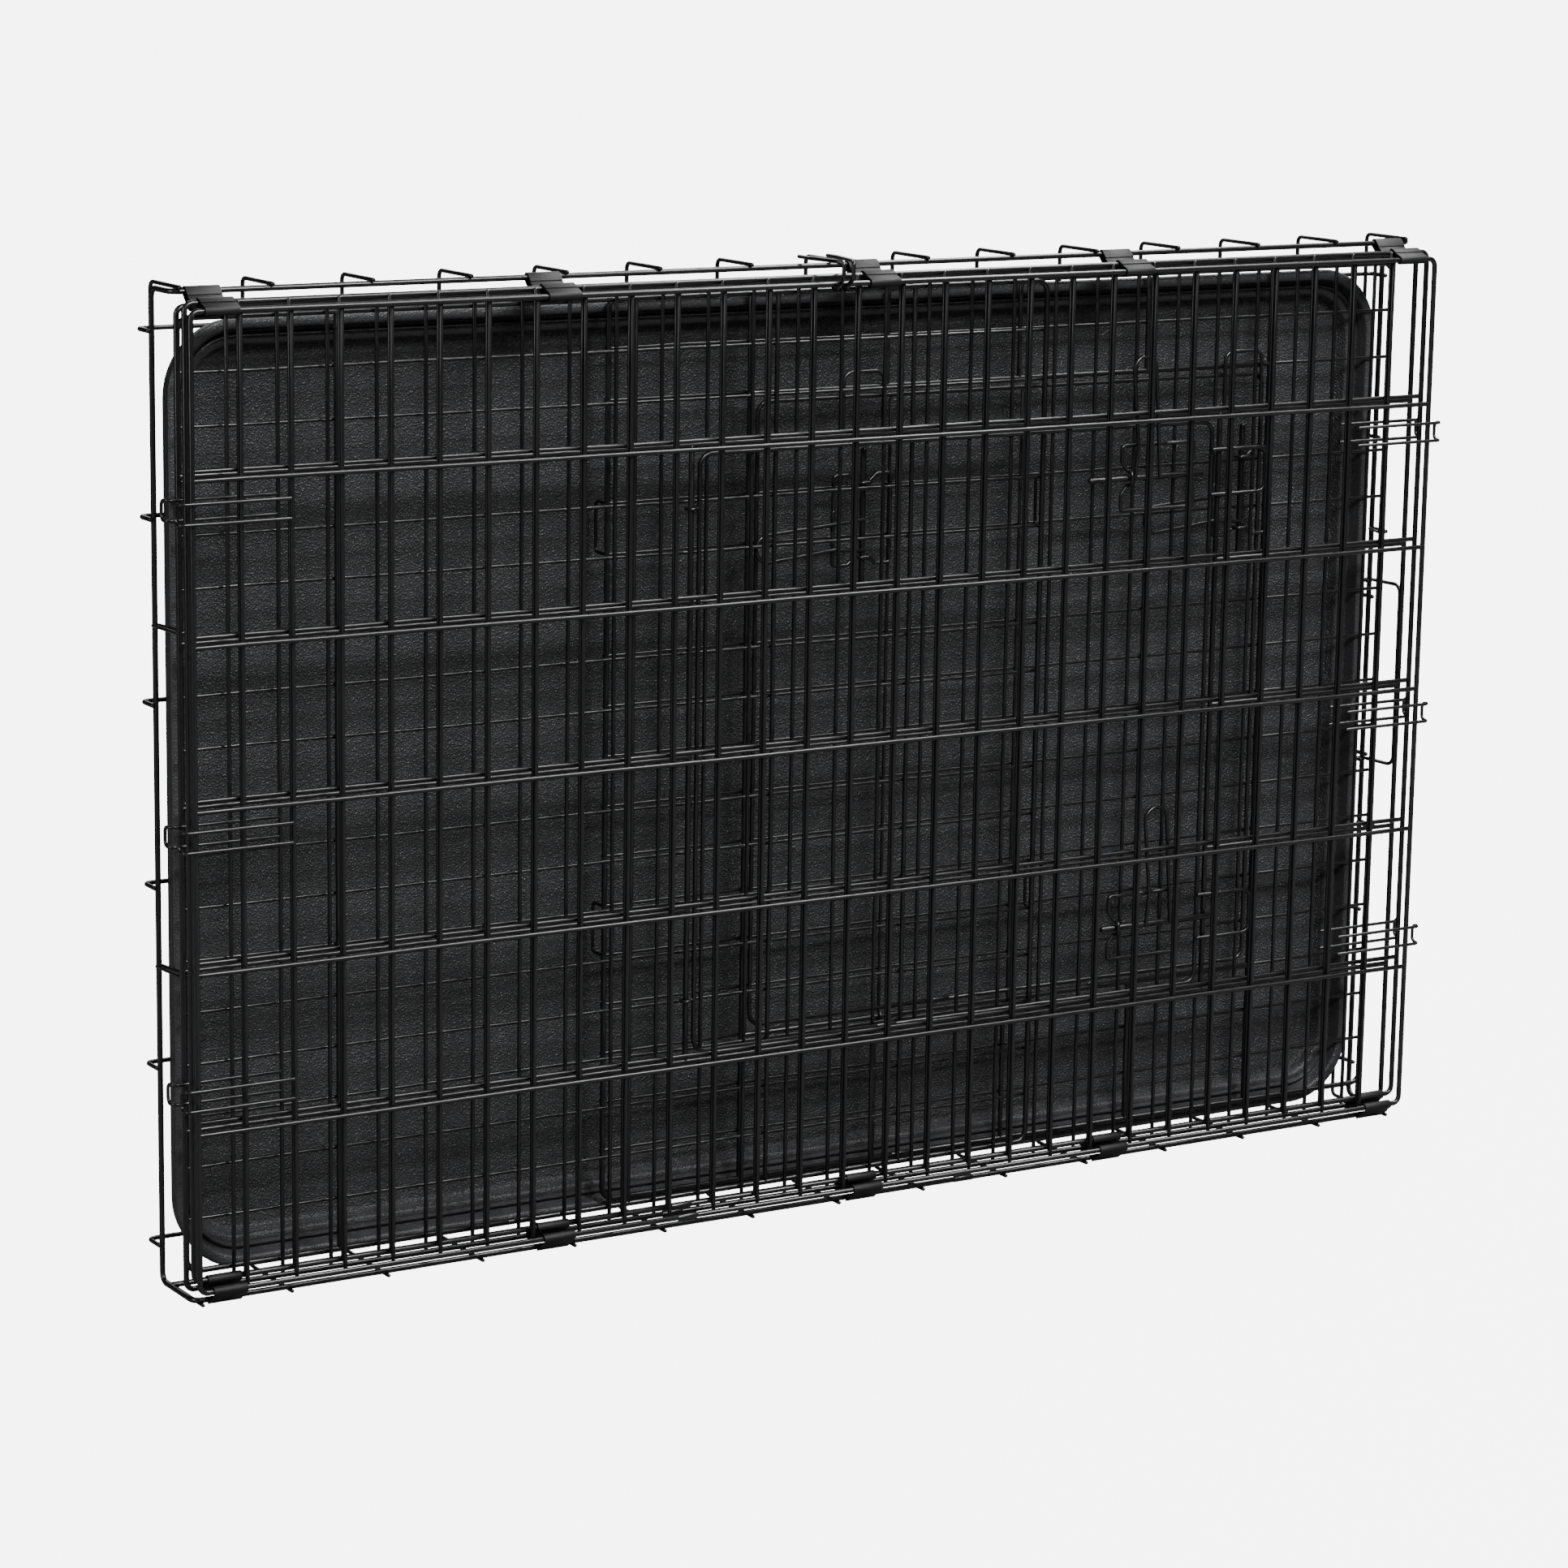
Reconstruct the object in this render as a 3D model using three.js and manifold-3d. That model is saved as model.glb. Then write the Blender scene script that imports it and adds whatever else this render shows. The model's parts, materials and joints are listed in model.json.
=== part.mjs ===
// Folding wire dog crate, folded flat and stood on its long edge.
// Millimetres. X runs along the crate, Y from the front panel back to the base, Z up.
// Lengths below are set in the crate's own layout: Y = 0 is the foremost wire and
// Z = 0 is near the lower hinge line. The last lines stand the group on its base centre.
import * as THREE from 'three';
import { mergeVertices } from 'three/addons/utils/BufferGeometryUtils.js';
import Module from 'manifold-3d';

const wasm = await Module();
wasm.setup();

// Overall sizes
const crateLength = 914;       // long panels, outside of the rim rods
const sideHeight = 588;        // rim rod to rim rod of the front side panel
const roofExtra = 4;           // the back panel is this much wider than the front one
const roofLess = 1;            // and the roof this much narrower
const endHeight = 610;         // end panels, hinge rod to top rod
const topWallHeight = 40;      // base walls, from the floor wires
const lowWallHeight = 58;
const endRodHeight = 12;

// Wire gauges
const rimRadius = 1.8;
const crossRadius = 1.5;
const wireRadius = 1.3;
const thinRadius = 1.1;
const boltRadius = 2;
const wireSides = 6;
const weld = 0.4;              // how deep crossing wires sink into each other
const play = 0.3;              // gap between pieces that touch
const flatShare = Math.cos(Math.PI / wireSides);   // a wire's flats, as a share of its radius

// Mesh counts
const columns = 28;            // spaces between the upright wires of a long panel
const rows = 6;                // spaces between its long wires
const endColumns = 18;
const endRows = 6;
const baseCrossCount = 13;
const baseLongCount = 6;
const rimCorner = 5;
const endCorner = 8;           // corners of the end panels and doors
const seam = 6;                // half the length of a rim's butt joint
const seamPlace = 0.37;        // where it sits along the rim's low side
const tail = 1;                // how far a wire's end runs past the rim rod's middle
const innerSink = 0.27;        // inner long wires sit this much behind the rim's face

// Layers, front to back. Each depth is a rod's middle.
const crossOffset = rimRadius + wireRadius - weld;
const thinOffset = rimRadius + thinRadius - weld;
const panelGap = 0.7;          // front panel's uprights to the roof's
const latchRoom = 7.7;         // roof to back panel, for the side latches
const endGap = 0.6;            // back panel to the left end panel
const crossedRoom = 10.6;      // left end panel to the right one, for the end latches
const trayGap = 0.8;           // right end panel to the tray's rim
const floorGap = 1;            // tray to the floor wires
const trayDepth = 20.5;
const frontDepth = 2;
const roofDepth = frontDepth + 2 * (crossOffset + wireRadius) + panelGap;
const backDepth = roofDepth + 2 * rimRadius + latchRoom;
const endLeftDepth = backDepth + crossOffset + wireRadius + endGap + rimRadius;
const endRightDepth = endLeftDepth + thinOffset + thinRadius + crossedRoom;
const trayRimDepth = endRightDepth + thinOffset + thinRadius + trayGap;
const floorDepth = trayRimDepth + trayDepth + floorGap + wireRadius;

// Heights of the hinge rods
const frontLow = -2;
const backLow = -5;
const roofLow = 3;
const topRise = 8;             // base's top rod above the back panel's
const lowDrop = 7.5;           // base's low rod below the front panel's
const frontHigh = frontLow + sideHeight;
const backHigh = backLow + sideHeight + roofExtra;
const roofHigh = roofLow + sideHeight - roofLess;
const ringTop = backHigh + topRise;
const ringLow = frontLow - lowDrop;
const baseWidth = ringTop - ringLow;

// What lies inside the base
const baseSetBack = 1.5;       // base's floor wires inside the long panels, at each end
const baseLength = crateLength - 2 * baseSetBack;
const endSetBack = 14.25;      // end panels inside the base's rods, at each side
const endWidth = baseWidth - 2 * endSetBack;

// Tray
const trayEndGap = 9.5;        // tray to the base's ends
const traySideSlack = 16.4;    // all the room left across the base
const traySlide = -3.5;        // the tray lies nearer the base's left end
const trayLift = 2.5;          // the tray has dropped to this height above the low wall
const trayLength = baseLength - 2 * trayEndGap;
const trayWidth = baseWidth - 2 * rimRadius - trayLift - traySideSlack;
const trayWall = 2.4;
const trayCorner = 46;
const trayLip = 3;             // depth of the rolled lip
const trayLedge = 9;           // depth of the ledge inside it
const traySteps = { skirt: 1.2, lip: 7, ridgeOut: 10, ridgeIn: 13, floor: 16 };
const trayRidge = 2.5;

// Hinge clips
const clipLength = 22;
const clipSheet = 1.2;
const clipColumns = [0.6, 7.5, 14.5, 20.5, 27.4];
const clipFacets = 4;

// Doors. Rows and columns are counted from the hinge side.
const sideDoor = { left: -110, right: 295, lowRow: 1, highRow: 5 };
const endDoor = { hingeColumn: 3, latchColumn: 16, lowRow: 1, highRow: 5 };
const doorGap = 6;
const doorCurlInset = 40;      // side door's hinge curls from the opening's ends
const curlStep = 3.2;          // hinge curls sit this far beside the panel's own wires

// Latches
const boltLength = 92;
const boltTravel = 20;
const bracketLength = 58;
const bracketWidth = 43;
const notchDepth = 1.4;
const handleReach = 80;
const handleWidth = 20;
const notchSet = 5;            // the bracket's notches stand this far in from its ends
const keeperLength = 44;
const keeperWidth = 30;
const sideKeeperLap = 8;       // keepers reach this far back over the door
const endKeeperLap = 34;
const sideLatchInset = 52;     // latch middles from the opening's edge
const endLatchInset = 84.75;
const sideLatchRows = { upper: 4.6, lower: 1.53 };
const endLatchRows = { upper: 4.19, lower: 1.24 };

// Hooks
const hookRows = [1.2245, 2.8265, 4.806];
const hookNose = 9;            // how far the nose stands outside the rim
const hookDrop = 7;            // and how far back it reaches
const hookGap = 6;             // half the hairpin's width
const hookTail = 3;
const closingColumn = 13;
const closingPlaces = [{ name: 'left', past: 13, lean: -7 }, { name: 'right', past: 20, lean: 7 }];
const closingFront = 9.5;      // closing hooks stand this far in front of the front rim
const closingLap = 6;          // and lie this far over the base's top rod

// Links and loops
const linkPlaces = [0.32, 0.68];
const linkInset = 3;           // end panels' hinge rods inside the base's end rods
const topLoopColumns = [5, 13];
const leftLoopReach = 5;
const rightLoopReach = 12;

const black = { color: 0x141414, roughness: 0.38, metalness: 0.35 };
const plastic = { color: 0x18181a, roughness: 0.55, metalness: 0 };

const group = new THREE.Group();
const yAxis = new THREE.Vector3(0, 1, 0);
const xAxis = new THREE.Vector3(1, 0, 0);
const zAxis = new THREE.Vector3(0, 0, 1);

// ---- solids -------------------------------------------------------------

function toSolid(geometry) {
  const bare = geometry.index ? geometry.toNonIndexed() : geometry.clone();
  bare.deleteAttribute('normal');
  bare.deleteAttribute('uv');
  const merged = mergeVertices(bare, 1e-4);
  return new wasm.Manifold(new wasm.Mesh({
    numProp: 3,
    vertProperties: new Float32Array(merged.attributes.position.array),
    triVerts: new Uint32Array(merged.index.array),
  }));
}

function toGeometry(solid) {
  const mesh = solid.getMesh();
  const geometry = new THREE.BufferGeometry();
  geometry.setAttribute('position', new THREE.BufferAttribute(new Float32Array(mesh.vertProperties), 3));
  geometry.setIndex(new THREE.BufferAttribute(new Uint32Array(mesh.triVerts), 1));
  geometry.computeVertexNormals();
  return geometry;
}

function join(solids) {
  return solids.reduce((whole, solid) => whole.add(solid));
}

function addPart(name, solid, finish = black, parent = group) {
  const mesh = new THREE.Mesh(toGeometry(solid), new THREE.MeshStandardMaterial(finish));
  mesh.name = name;
  parent.add(mesh);
  return mesh;
}

// ---- wires --------------------------------------------------------------

// A bent wire: one section at each point, with a ridge of the section facing `face`.
class BentWire extends THREE.Curve {
  constructor(points, face) {
    super();
    this.points = points;
    this.face = face;
  }

  getPoint(t) {
    const place = t * (this.points.length - 1);
    const first = Math.min(Math.floor(place), this.points.length - 2);
    return this.points[first].clone().lerp(this.points[first + 1], place - first);
  }

  getPointAt(u) {
    return this.getPoint(u);
  }

  getSpacedPoints() {
    return this.points.map((point) => point.clone());
  }

  tangentAtPoint(index) {
    const last = this.points.length - 1;
    const ahead = new THREE.Vector3();
    if (index < last) ahead.add(this.points[index + 1].clone().sub(this.points[index]).normalize());
    if (index > 0) ahead.add(this.points[index].clone().sub(this.points[index - 1]).normalize());
    return ahead.normalize();
  }

  computeFrenetFrames() {
    const tangents = this.points.map((point, index) => this.tangentAtPoint(index));
    const binormals = tangents.map((tangent) => tangent.clone().cross(this.face).normalize());
    const normals = tangents.map((tangent, index) => binormals[index].clone().cross(tangent));
    return { tangents, normals, binormals };
  }
}

function section(radius, sides, turn) {
  const corners = [];
  for (let i = 0; i < sides; i += 1) {
    const angle = turn + (2 * Math.PI * i) / sides;
    corners.push(new THREE.Vector2(radius * Math.cos(angle), radius * Math.sin(angle)));
  }
  return new THREE.Shape(corners);
}

// `turn` rolls the section about the wire, so that a ridge can also face across `face`.
function wire(points, radius, face = yAxis, turn = 0) {
  const path = new BentWire(points, face);
  return toSolid(new THREE.ExtrudeGeometry(section(radius, wireSides, turn), {
    steps: points.length - 1,
    bevelEnabled: false,
    extrudePath: path,
  }));
}

const at = (x, y, z) => new THREE.Vector3(x, y, z);

// Rounds each inner corner of a path with an arc of the given radius.
function bend(points, radius, pieces = 2) {
  const path = [points[0]];
  for (let i = 1; i < points.length - 1; i += 1) {
    const back = points[i - 1].clone().sub(points[i]).normalize();
    const ahead = points[i + 1].clone().sub(points[i]).normalize();
    const half = back.angleTo(ahead) / 2;
    const reach = radius / Math.tan(half);
    const start = points[i].clone().addScaledVector(back, reach);
    const end = points[i].clone().addScaledVector(ahead, reach);
    const bisector = back.clone().add(ahead).normalize();
    const centre = points[i].clone().addScaledVector(bisector, radius / Math.sin(half));
    for (let k = 0; k <= pieces; k += 1) {
      const spoke = start.clone().sub(centre).lerp(end.clone().sub(centre), k / pieces);
      path.push(centre.clone().addScaledVector(spoke.normalize(), radius));
    }
  }
  path.push(points[points.length - 1]);
  return path;
}

// An arc of wire points in the plane of two axes.
function arc(centre, radius, axisA, axisB, from, to, pieces) {
  const path = [];
  for (let k = 0; k <= pieces; k += 1) {
    const angle = from + ((to - from) * k) / pieces;
    const point = centre.clone().addScaledVector(axisA, radius * Math.cos(angle));
    path.push(point.addScaledVector(axisB, radius * Math.sin(angle)));
  }
  return path;
}

const straight = (from, to, radius, face = yAxis) => wire([from, to], radius, face);

// A closed rim of thick rod in an XZ plane, with its butt joint in the low side.
function rim(left, right, low, high, depth, radius = rimRadius, corner = rimCorner) {
  const middle = left + seamPlace * (right - left);
  const path = bend([
    at(middle + seam, depth, low),
    at(right, depth, low),
    at(right, depth, high),
    at(left, depth, high),
    at(left, depth, low),
    at(middle - seam, depth, low),
  ], corner);
  const beadStart = at(middle - seam - 2, depth, low);
  const sleeve = straight(beadStart, at(middle + seam + 2, depth, low), radius + 0.3);
  return wire(path, radius).add(sleeve);
}

// ---- long panels --------------------------------------------------------

const halfLength = crateLength / 2 - rimRadius;
const columnPitch = (2 * halfLength) / columns;
const columnX = (index) => -halfLength + index * columnPitch;

// A long panel. `side` is +1 when its upright wires are behind its long wires, -1 when in front.
function longPanel(low, high, depth, side, opening) {
  const rowPitch = (high - low) / rows;
  const pieces = [rim(-halfLength, halfLength, low, high, depth)];
  const inDoor = (x) => opening && x > opening.left && x < opening.right;
  for (let i = 1; i < columns; i += 1) {
    const x = columnX(i);
    const y = depth + side * crossOffset;
    if (inDoor(x)) {
      const doorLow = low + opening.lowRow * rowPitch;
      const doorHigh = low + opening.highRow * rowPitch;
      pieces.push(straight(at(x, y, low - tail), at(x, y, doorLow + tail), wireRadius));
      pieces.push(straight(at(x, y, doorHigh - tail), at(x, y, high + tail), wireRadius));
    } else {
      pieces.push(straight(at(x, y, low - tail), at(x, y, high + tail), wireRadius));
    }
  }
  for (let j = 1; j < rows; j += 1) {
    const z = low + j * rowPitch;
    const innerDepth = depth - side * innerSink;
    const split = opening && j > opening.lowRow && j < opening.highRow;
    const edgeRow = opening && (j === opening.lowRow || j === opening.highRow);
    if (split) {
      pieces.push(straight(at(-halfLength, innerDepth, z), at(opening.left, innerDepth, z), crossRadius));
      pieces.push(straight(at(opening.right, innerDepth, z), at(halfLength, innerDepth, z), crossRadius));
    } else {
      const rowRadius = edgeRow ? rimRadius : crossRadius;
      const rowDepth = edgeRow ? depth : innerDepth;
      pieces.push(straight(at(-halfLength, rowDepth, z), at(halfLength, rowDepth, z), rowRadius));
    }
  }
  if (opening) {
    const doorLow = low + opening.lowRow * rowPitch;
    const doorHigh = low + opening.highRow * rowPitch;
    for (const x of [opening.left, opening.right]) {
      pieces.push(straight(at(x, depth, doorLow), at(x, depth, doorHigh), rimRadius));
    }
  }
  return join(pieces);
}

const backRow = (backHigh - backLow) / rows;
const sideDoorLow = backLow + sideDoor.lowRow * backRow;
const sideDoorHigh = backLow + sideDoor.highRow * backRow;

addPart('side_panel_front', longPanel(frontLow, frontHigh, frontDepth, 1));
addPart('roof_panel', longPanel(roofLow, roofHigh, roofDepth, -1));
addPart('side_panel_back', longPanel(backLow, backHigh, backDepth, 1, sideDoor));

// The side door: a rim inside the opening, upright wires in step with the panel, and
// long wires whose left ends curl around the panel's door rod as hinges.
function sideDoorSolid() {
  const left = sideDoor.left + doorGap;
  const right = sideDoor.right - doorGap;
  const low = sideDoorLow + doorGap;
  const high = sideDoorHigh - doorGap;
  const pieces = [rim(left, right, low, high, backDepth, crossRadius, endCorner)];
  const offset = crossRadius + wireRadius - weld;
  for (let i = 1; i < columns; i += 1) {
    const x = columnX(i);
    if (x > left + 4 && x < right - 4) {
      const y = backDepth + offset;
      pieces.push(straight(at(x, y, low - tail), at(x, y, high + tail), wireRadius));
    }
  }
  for (let j = sideDoor.lowRow + 1; j < sideDoor.highRow; j += 1) {
    const z = backLow + j * backRow;
    const depth = backDepth - innerSink;
    pieces.push(straight(at(left, depth, z), at(right, depth, z), thinRadius));
  }
  for (const z of [sideDoorLow + doorCurlInset, sideDoorHigh - doorCurlInset]) {
    const reach = rimRadius + play + thinRadius;
    const rod = at(sideDoor.left, backDepth, z);
    const curl = arc(rod, reach, xAxis, yAxis, 0, -1.5 * Math.PI, 6);
    pieces.push(wire([at(left, backDepth, z), ...curl], thinRadius, zAxis));
  }
  return join(pieces);
}

addPart('side_door', sideDoorSolid());

// ---- base ---------------------------------------------------------------

const baseEnd = baseLength / 2 - wireRadius;
const middleDrop = 1;          // the base's and end panels' middle lies below the rods' middle
const baseMiddle = (ringTop + ringLow) / 2 - middleDrop;
const lastSpace = 63;          // end of the base to its last inner cross wire
const basePitch = (2 * (baseEnd - lastSpace)) / (baseCrossCount - 1);
const longMargin = 24.25;      // base's rods to its outer long wires
const baseLongPitch = (baseWidth - 2 * longMargin) / (baseLongCount - 1);
const longZ = (index) => baseMiddle + (index - (baseLongCount - 1) / 2) * baseLongPitch;
const topRingDepth = floorDepth - topWallHeight;
const lowRingDepth = floorDepth - lowWallHeight;
const endRodDepth = floorDepth - endRodHeight;
const endRodOut = 0.8;
const endRodX = baseEnd + endRodOut;
const wallOffset = rimRadius * flatShare + wireRadius - weld;
const wallLow = ringLow - wallOffset;
const wallHigh = ringTop + wallOffset;
const longGap = 0.1;           // long wires clear the cross wires, except where they are welded
const weldShift = 0.6;
const longDepth = floorDepth + wireRadius + crossRadius + longGap;
const endCrossDepth = floorDepth + weldShift;
const endCrossInset = 4;
const weldedLong = 2;          // this long wire is welded to every cross wire
const midWall = lowRingDepth + 36;
const crossTip = 3.5;          // cross wires run this far past the rods
const baseCorner = 4;
const rollToRidge = Math.PI / wireSides;

// A cross wire of the base: down the top wall, across the floor and out along the low wall.
function baseCross(x, depth) {
  return wire(bend([
    at(x, topRingDepth - crossTip, wallHigh),
    at(x, depth, wallHigh),
    at(x, depth, wallLow),
    at(x, lowRingDepth - crossTip, wallLow),
  ], baseCorner, 1), wireRadius, xAxis, rollToRidge);
}

// The ring rod: high along both long sides, low across both ends.
function baseRing() {
  const seamX = 1.5 * basePitch;
  const x = endRodX;
  const path = bend([
    at(seamX + seam, lowRingDepth, ringLow),
    at(x, lowRingDepth, ringLow),
    at(x, endRodDepth, ringLow),
    at(x, endRodDepth, ringTop),
    at(x, topRingDepth, ringTop),
    at(-x, topRingDepth, ringTop),
    at(-x, endRodDepth, ringTop),
    at(-x, endRodDepth, ringLow),
    at(-x, lowRingDepth, ringLow),
    at(seamX - seam, lowRingDepth, ringLow),
  ], 6);
  const sleeve = straight(
    at(seamX - seam - 2, lowRingDepth, ringLow),
    at(seamX + seam + 2, lowRingDepth, ringLow),
    rimRadius + 0.3,
  );
  return wire(path, rimRadius, at(0.35, 0.9, 0.26).normalize()).add(sleeve);
}

const endLow = (ringTop + ringLow - endWidth) / 2 - middleDrop;
const endHigh = endLow + endWidth;
const endPitch = endWidth / endColumns;
const endColumnZ = (index) => endLow + index * endPitch;
const endHingeX = endRodX - linkInset;
const endRowPitch = endHeight / endRows;

// A wire link welded to the base's end rod. Its curl holds an end panel's hinge rod.
function hingeLink(side, depth, z) {
  const rod = at(side * endRodX, endRodDepth, z);
  const hinge = at(side * endHingeX, depth, z);
  const away = hinge.clone().sub(rod).normalize();
  const across = away.clone().cross(zAxis);
  const reach = rimRadius + play + thinRadius;
  const curl = arc(hinge, reach, across, away, 0, Math.PI, 4);
  const start = rod.clone().addScaledVector(across, rimRadius);
  const end = rod.clone().addScaledVector(across, -rimRadius);
  return wire([start, ...curl, end], thinRadius, zAxis);
}

function baseWhole() {
  const pieces = [baseRing()];
  const half = (baseCrossCount - 1) / 2;
  for (let i = -half; i <= half; i += 1) {
    pieces.push(baseCross(i * basePitch, floorDepth));
  }
  pieces.push(baseCross(-baseEnd + endCrossInset, endCrossDepth));
  pieces.push(baseCross(baseEnd - endCrossInset, endCrossDepth));
  for (let j = 0; j < baseLongCount; j += 1) {
    const z = longZ(j);
    const tip = endRodX + (rimRadius + crossRadius) * flatShare - weld;
    const depth = j === weldedLong ? longDepth - weldShift : longDepth;
    pieces.push(wire(bend([
      at(-tip, endRodDepth - 2, z),
      at(-tip, depth, z),
      at(tip, depth, z),
      at(tip, endRodDepth - 2, z),
    ], baseCorner, 1), crossRadius, zAxis, rollToRidge));
  }
  pieces.push(straight(at(-baseEnd, midWall, ringLow), at(baseEnd, midWall, ringLow), rimRadius));
  return join(pieces);
}

function endWithLinks(end, side, depth) {
  return join([end, ...linkPlaces.map((place) => hingeLink(side, depth, endLow + endWidth * place))]);
}

// The base is one welded tub. It is kept as its floor and four walls, cut face to face, so that
// each is nearly flat and the tub stays open.
const wallCut = 5;             // walls are cut this far inside the rods
const endCut = 2.6;
function addBase() {
  const [right, inner] = baseWhole().splitByPlane([1, 0, 0], endRodX - endCut);
  const [left, middle] = inner.splitByPlane([-1, 0, 0], endRodX - endCut);
  const [upper, below] = middle.splitByPlane([0, 0, 1], ringTop - wallCut);
  const [lower, floor] = below.splitByPlane([0, 0, -1], -(ringLow + wallCut));
  addPart('base_floor', floor);
  addPart('base_wall_upper', upper);
  addPart('base_wall_lower', lower);
  addPart('base_end_left', endWithLinks(left, -1, endLeftDepth));
  addPart('base_end_right', endWithLinks(right, 1, endRightDepth));
}

addBase();
// ---- tray ---------------------------------------------------------------

function roundedRectangle(width, height, radius, pieces = 5) {
  const corners = [];
  const centres = [[1, 1], [-1, 1], [-1, -1], [1, -1]];
  centres.forEach(([sx, sz], quarter) => {
    for (let k = 0; k <= pieces; k += 1) {
      const angle = (quarter + k / pieces) * (Math.PI / 2);
      corners.push(new THREE.Vector2(
        sx * (width / 2 - radius) + radius * Math.cos(angle),
        sz * (height / 2 - radius) + radius * Math.sin(angle),
      ));
    }
  });
  return new THREE.Shape(corners);
}

// A slab of the tray: a rounded rectangle set in by `inset`, between two depths.
function traySlab(inset, from, to) {
  const shape = roundedRectangle(trayLength - 2 * inset, trayWidth - 2 * inset, trayCorner - inset);
  const slab = new THREE.ExtrudeGeometry(shape, { depth: to - from, bevelEnabled: false });
  slab.rotateX(Math.PI / 2);
  slab.translate(traySlide, to, ringLow + rimRadius + trayLift + trayWidth / 2);
  return toSolid(slab);
}

function traySolid() {
  const back = trayRimDepth + trayDepth;
  const lip = trayRimDepth + trayLip;
  const ledge = trayRimDepth + trayLedge;
  const outside = traySlab(0, trayRimDepth, lip)
    .add(traySlab(traySteps.skirt, lip - 1, ledge + trayWall))
    .add(traySlab(traySteps.floor, ledge, back));
  const inside = traySlab(traySteps.lip, trayRimDepth - 5, ledge)
    .add(traySlab(traySteps.floor + trayWall, ledge - 1, back - trayWall));
  const ridge = traySlab(traySteps.ridgeOut, ledge - trayRidge, ledge + 0.5)
    .subtract(traySlab(traySteps.ridgeIn, ledge - trayRidge - 1, ledge + 1));
  return outside.subtract(inside).add(ridge);
}

addPart('tray', traySolid(), plastic);

// ---- end panels ---------------------------------------------------------

// An end panel folded in over the tray. `side` is -1 for the left end and +1 for the right.
function endPanel(side, depth, topLoopReach, door) {
  const rowX = (row) => side * (endHingeX - row * endRowPitch);
  const left = Math.min(rowX(0), rowX(endRows));
  const right = Math.max(rowX(0), rowX(endRows));
  const pieces = [rim(left, right, endLow, endHigh, depth, rimRadius, endCorner)];
  const thinDepth = depth + thinOffset;
  const doorEdges = door ? [rowX(door.lowRow), rowX(door.highRow)].sort((a, b) => a - b) : null;
  for (let i = 1; i < endColumns; i += 1) {
    const z = endColumnZ(i);
    const inDoor = door && i >= door.hingeColumn && i <= door.latchColumn;
    if (inDoor) {
      const nearEdge = at(doorEdges[0] + tail, thinDepth, z);
      const farEdge = at(doorEdges[1] - tail, thinDepth, z);
      pieces.push(straight(at(left - tail, thinDepth, z), nearEdge, thinRadius));
      pieces.push(straight(farEdge, at(right + tail, thinDepth, z), thinRadius));
    } else {
      pieces.push(straight(at(left - tail, thinDepth, z), at(right + tail, thinDepth, z), thinRadius));
    }
  }
  for (let j = 1; j < endRows; j += 1) {
    const x = rowX(j);
    const edge = door && (j === door.lowRow || j === door.highRow);
    const split = door && j > door.lowRow && j < door.highRow;
    const radius = edge ? rimRadius : crossRadius;
    const rowDepth = edge ? depth : depth - innerSink;
    if (split) {
      pieces.push(straight(at(x, rowDepth, endLow), at(x, rowDepth, endColumnZ(door.hingeColumn)), radius));
      pieces.push(straight(at(x, rowDepth, endColumnZ(door.latchColumn)), at(x, rowDepth, endHigh), radius));
    } else {
      pieces.push(straight(at(x, rowDepth, endLow), at(x, rowDepth, endHigh), radius));
    }
  }
  if (door) {
    for (const column of [door.hingeColumn, door.latchColumn]) {
      const z = endColumnZ(column);
      pieces.push(straight(at(doorEdges[0], depth, z), at(doorEdges[1], depth, z), rimRadius));
    }
  }
  for (const column of topLoopColumns) {
    const from = at(rowX(endRows), thinDepth, endColumnZ(column));
    const to = at(rowX(endRows), thinDepth, endColumnZ(column + 1));
    const reach = at(0, topLoopReach, 0);
    const loop = [from, from.clone().add(reach), to.clone().add(reach), to];
    pieces.push(wire(bend(loop, 3), thinRadius, xAxis));
  }
  return join(pieces);
}

addPart('end_panel_left', endPanel(-1, endLeftDepth, leftLoopReach));
addPart('end_panel_right', endPanel(1, endRightDepth, rightLoopReach, endDoor));

// The end door, hinged by curls on its lower edge and bolted along its upper edge.
function endDoorSolid() {
  const left = endHingeX - endDoor.highRow * endRowPitch + doorGap;
  const right = endHingeX - endDoor.lowRow * endRowPitch - doorGap;
  const low = endColumnZ(endDoor.hingeColumn) + doorGap;
  const high = endColumnZ(endDoor.latchColumn) - doorGap;
  const depth = endRightDepth;
  const pieces = [rim(left, right, low, high, depth, crossRadius, endCorner)];
  const offset = crossRadius + thinRadius - weld;
  for (let i = endDoor.hingeColumn + 1; i < endDoor.latchColumn; i += 1) {
    const z = endColumnZ(i);
    const thinDepth = depth + offset;
    pieces.push(straight(at(left - tail, thinDepth, z), at(right + tail, thinDepth, z), thinRadius));
  }
  const reach = rimRadius + play + thinRadius;
  for (let j = endDoor.lowRow + 1; j < endDoor.highRow; j += 1) {
    const x = endHingeX - j * endRowPitch + curlStep;
    const rowDepth = depth - innerSink;
    pieces.push(straight(at(x, rowDepth, low), at(x, rowDepth, high), thinRadius));
    const rod = at(x, depth, endColumnZ(endDoor.hingeColumn));
    const curl = arc(rod, reach, zAxis, yAxis, 0, -1.5 * Math.PI, 6);
    pieces.push(wire([at(x, depth, low), ...curl], thinRadius, xAxis));
  }
  return join(pieces);
}

addPart('end_door', endDoorSolid());

// ---- pan stop -----------------------------------------------------------

const stopReach = 28;
const stopClear = { low: 3.2, high: 11.8 };   // its arms stand this far outside two of the long wires
const stopLow = longZ(2) - stopClear.low;
const stopHigh = longZ(3) + stopClear.high;

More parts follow.
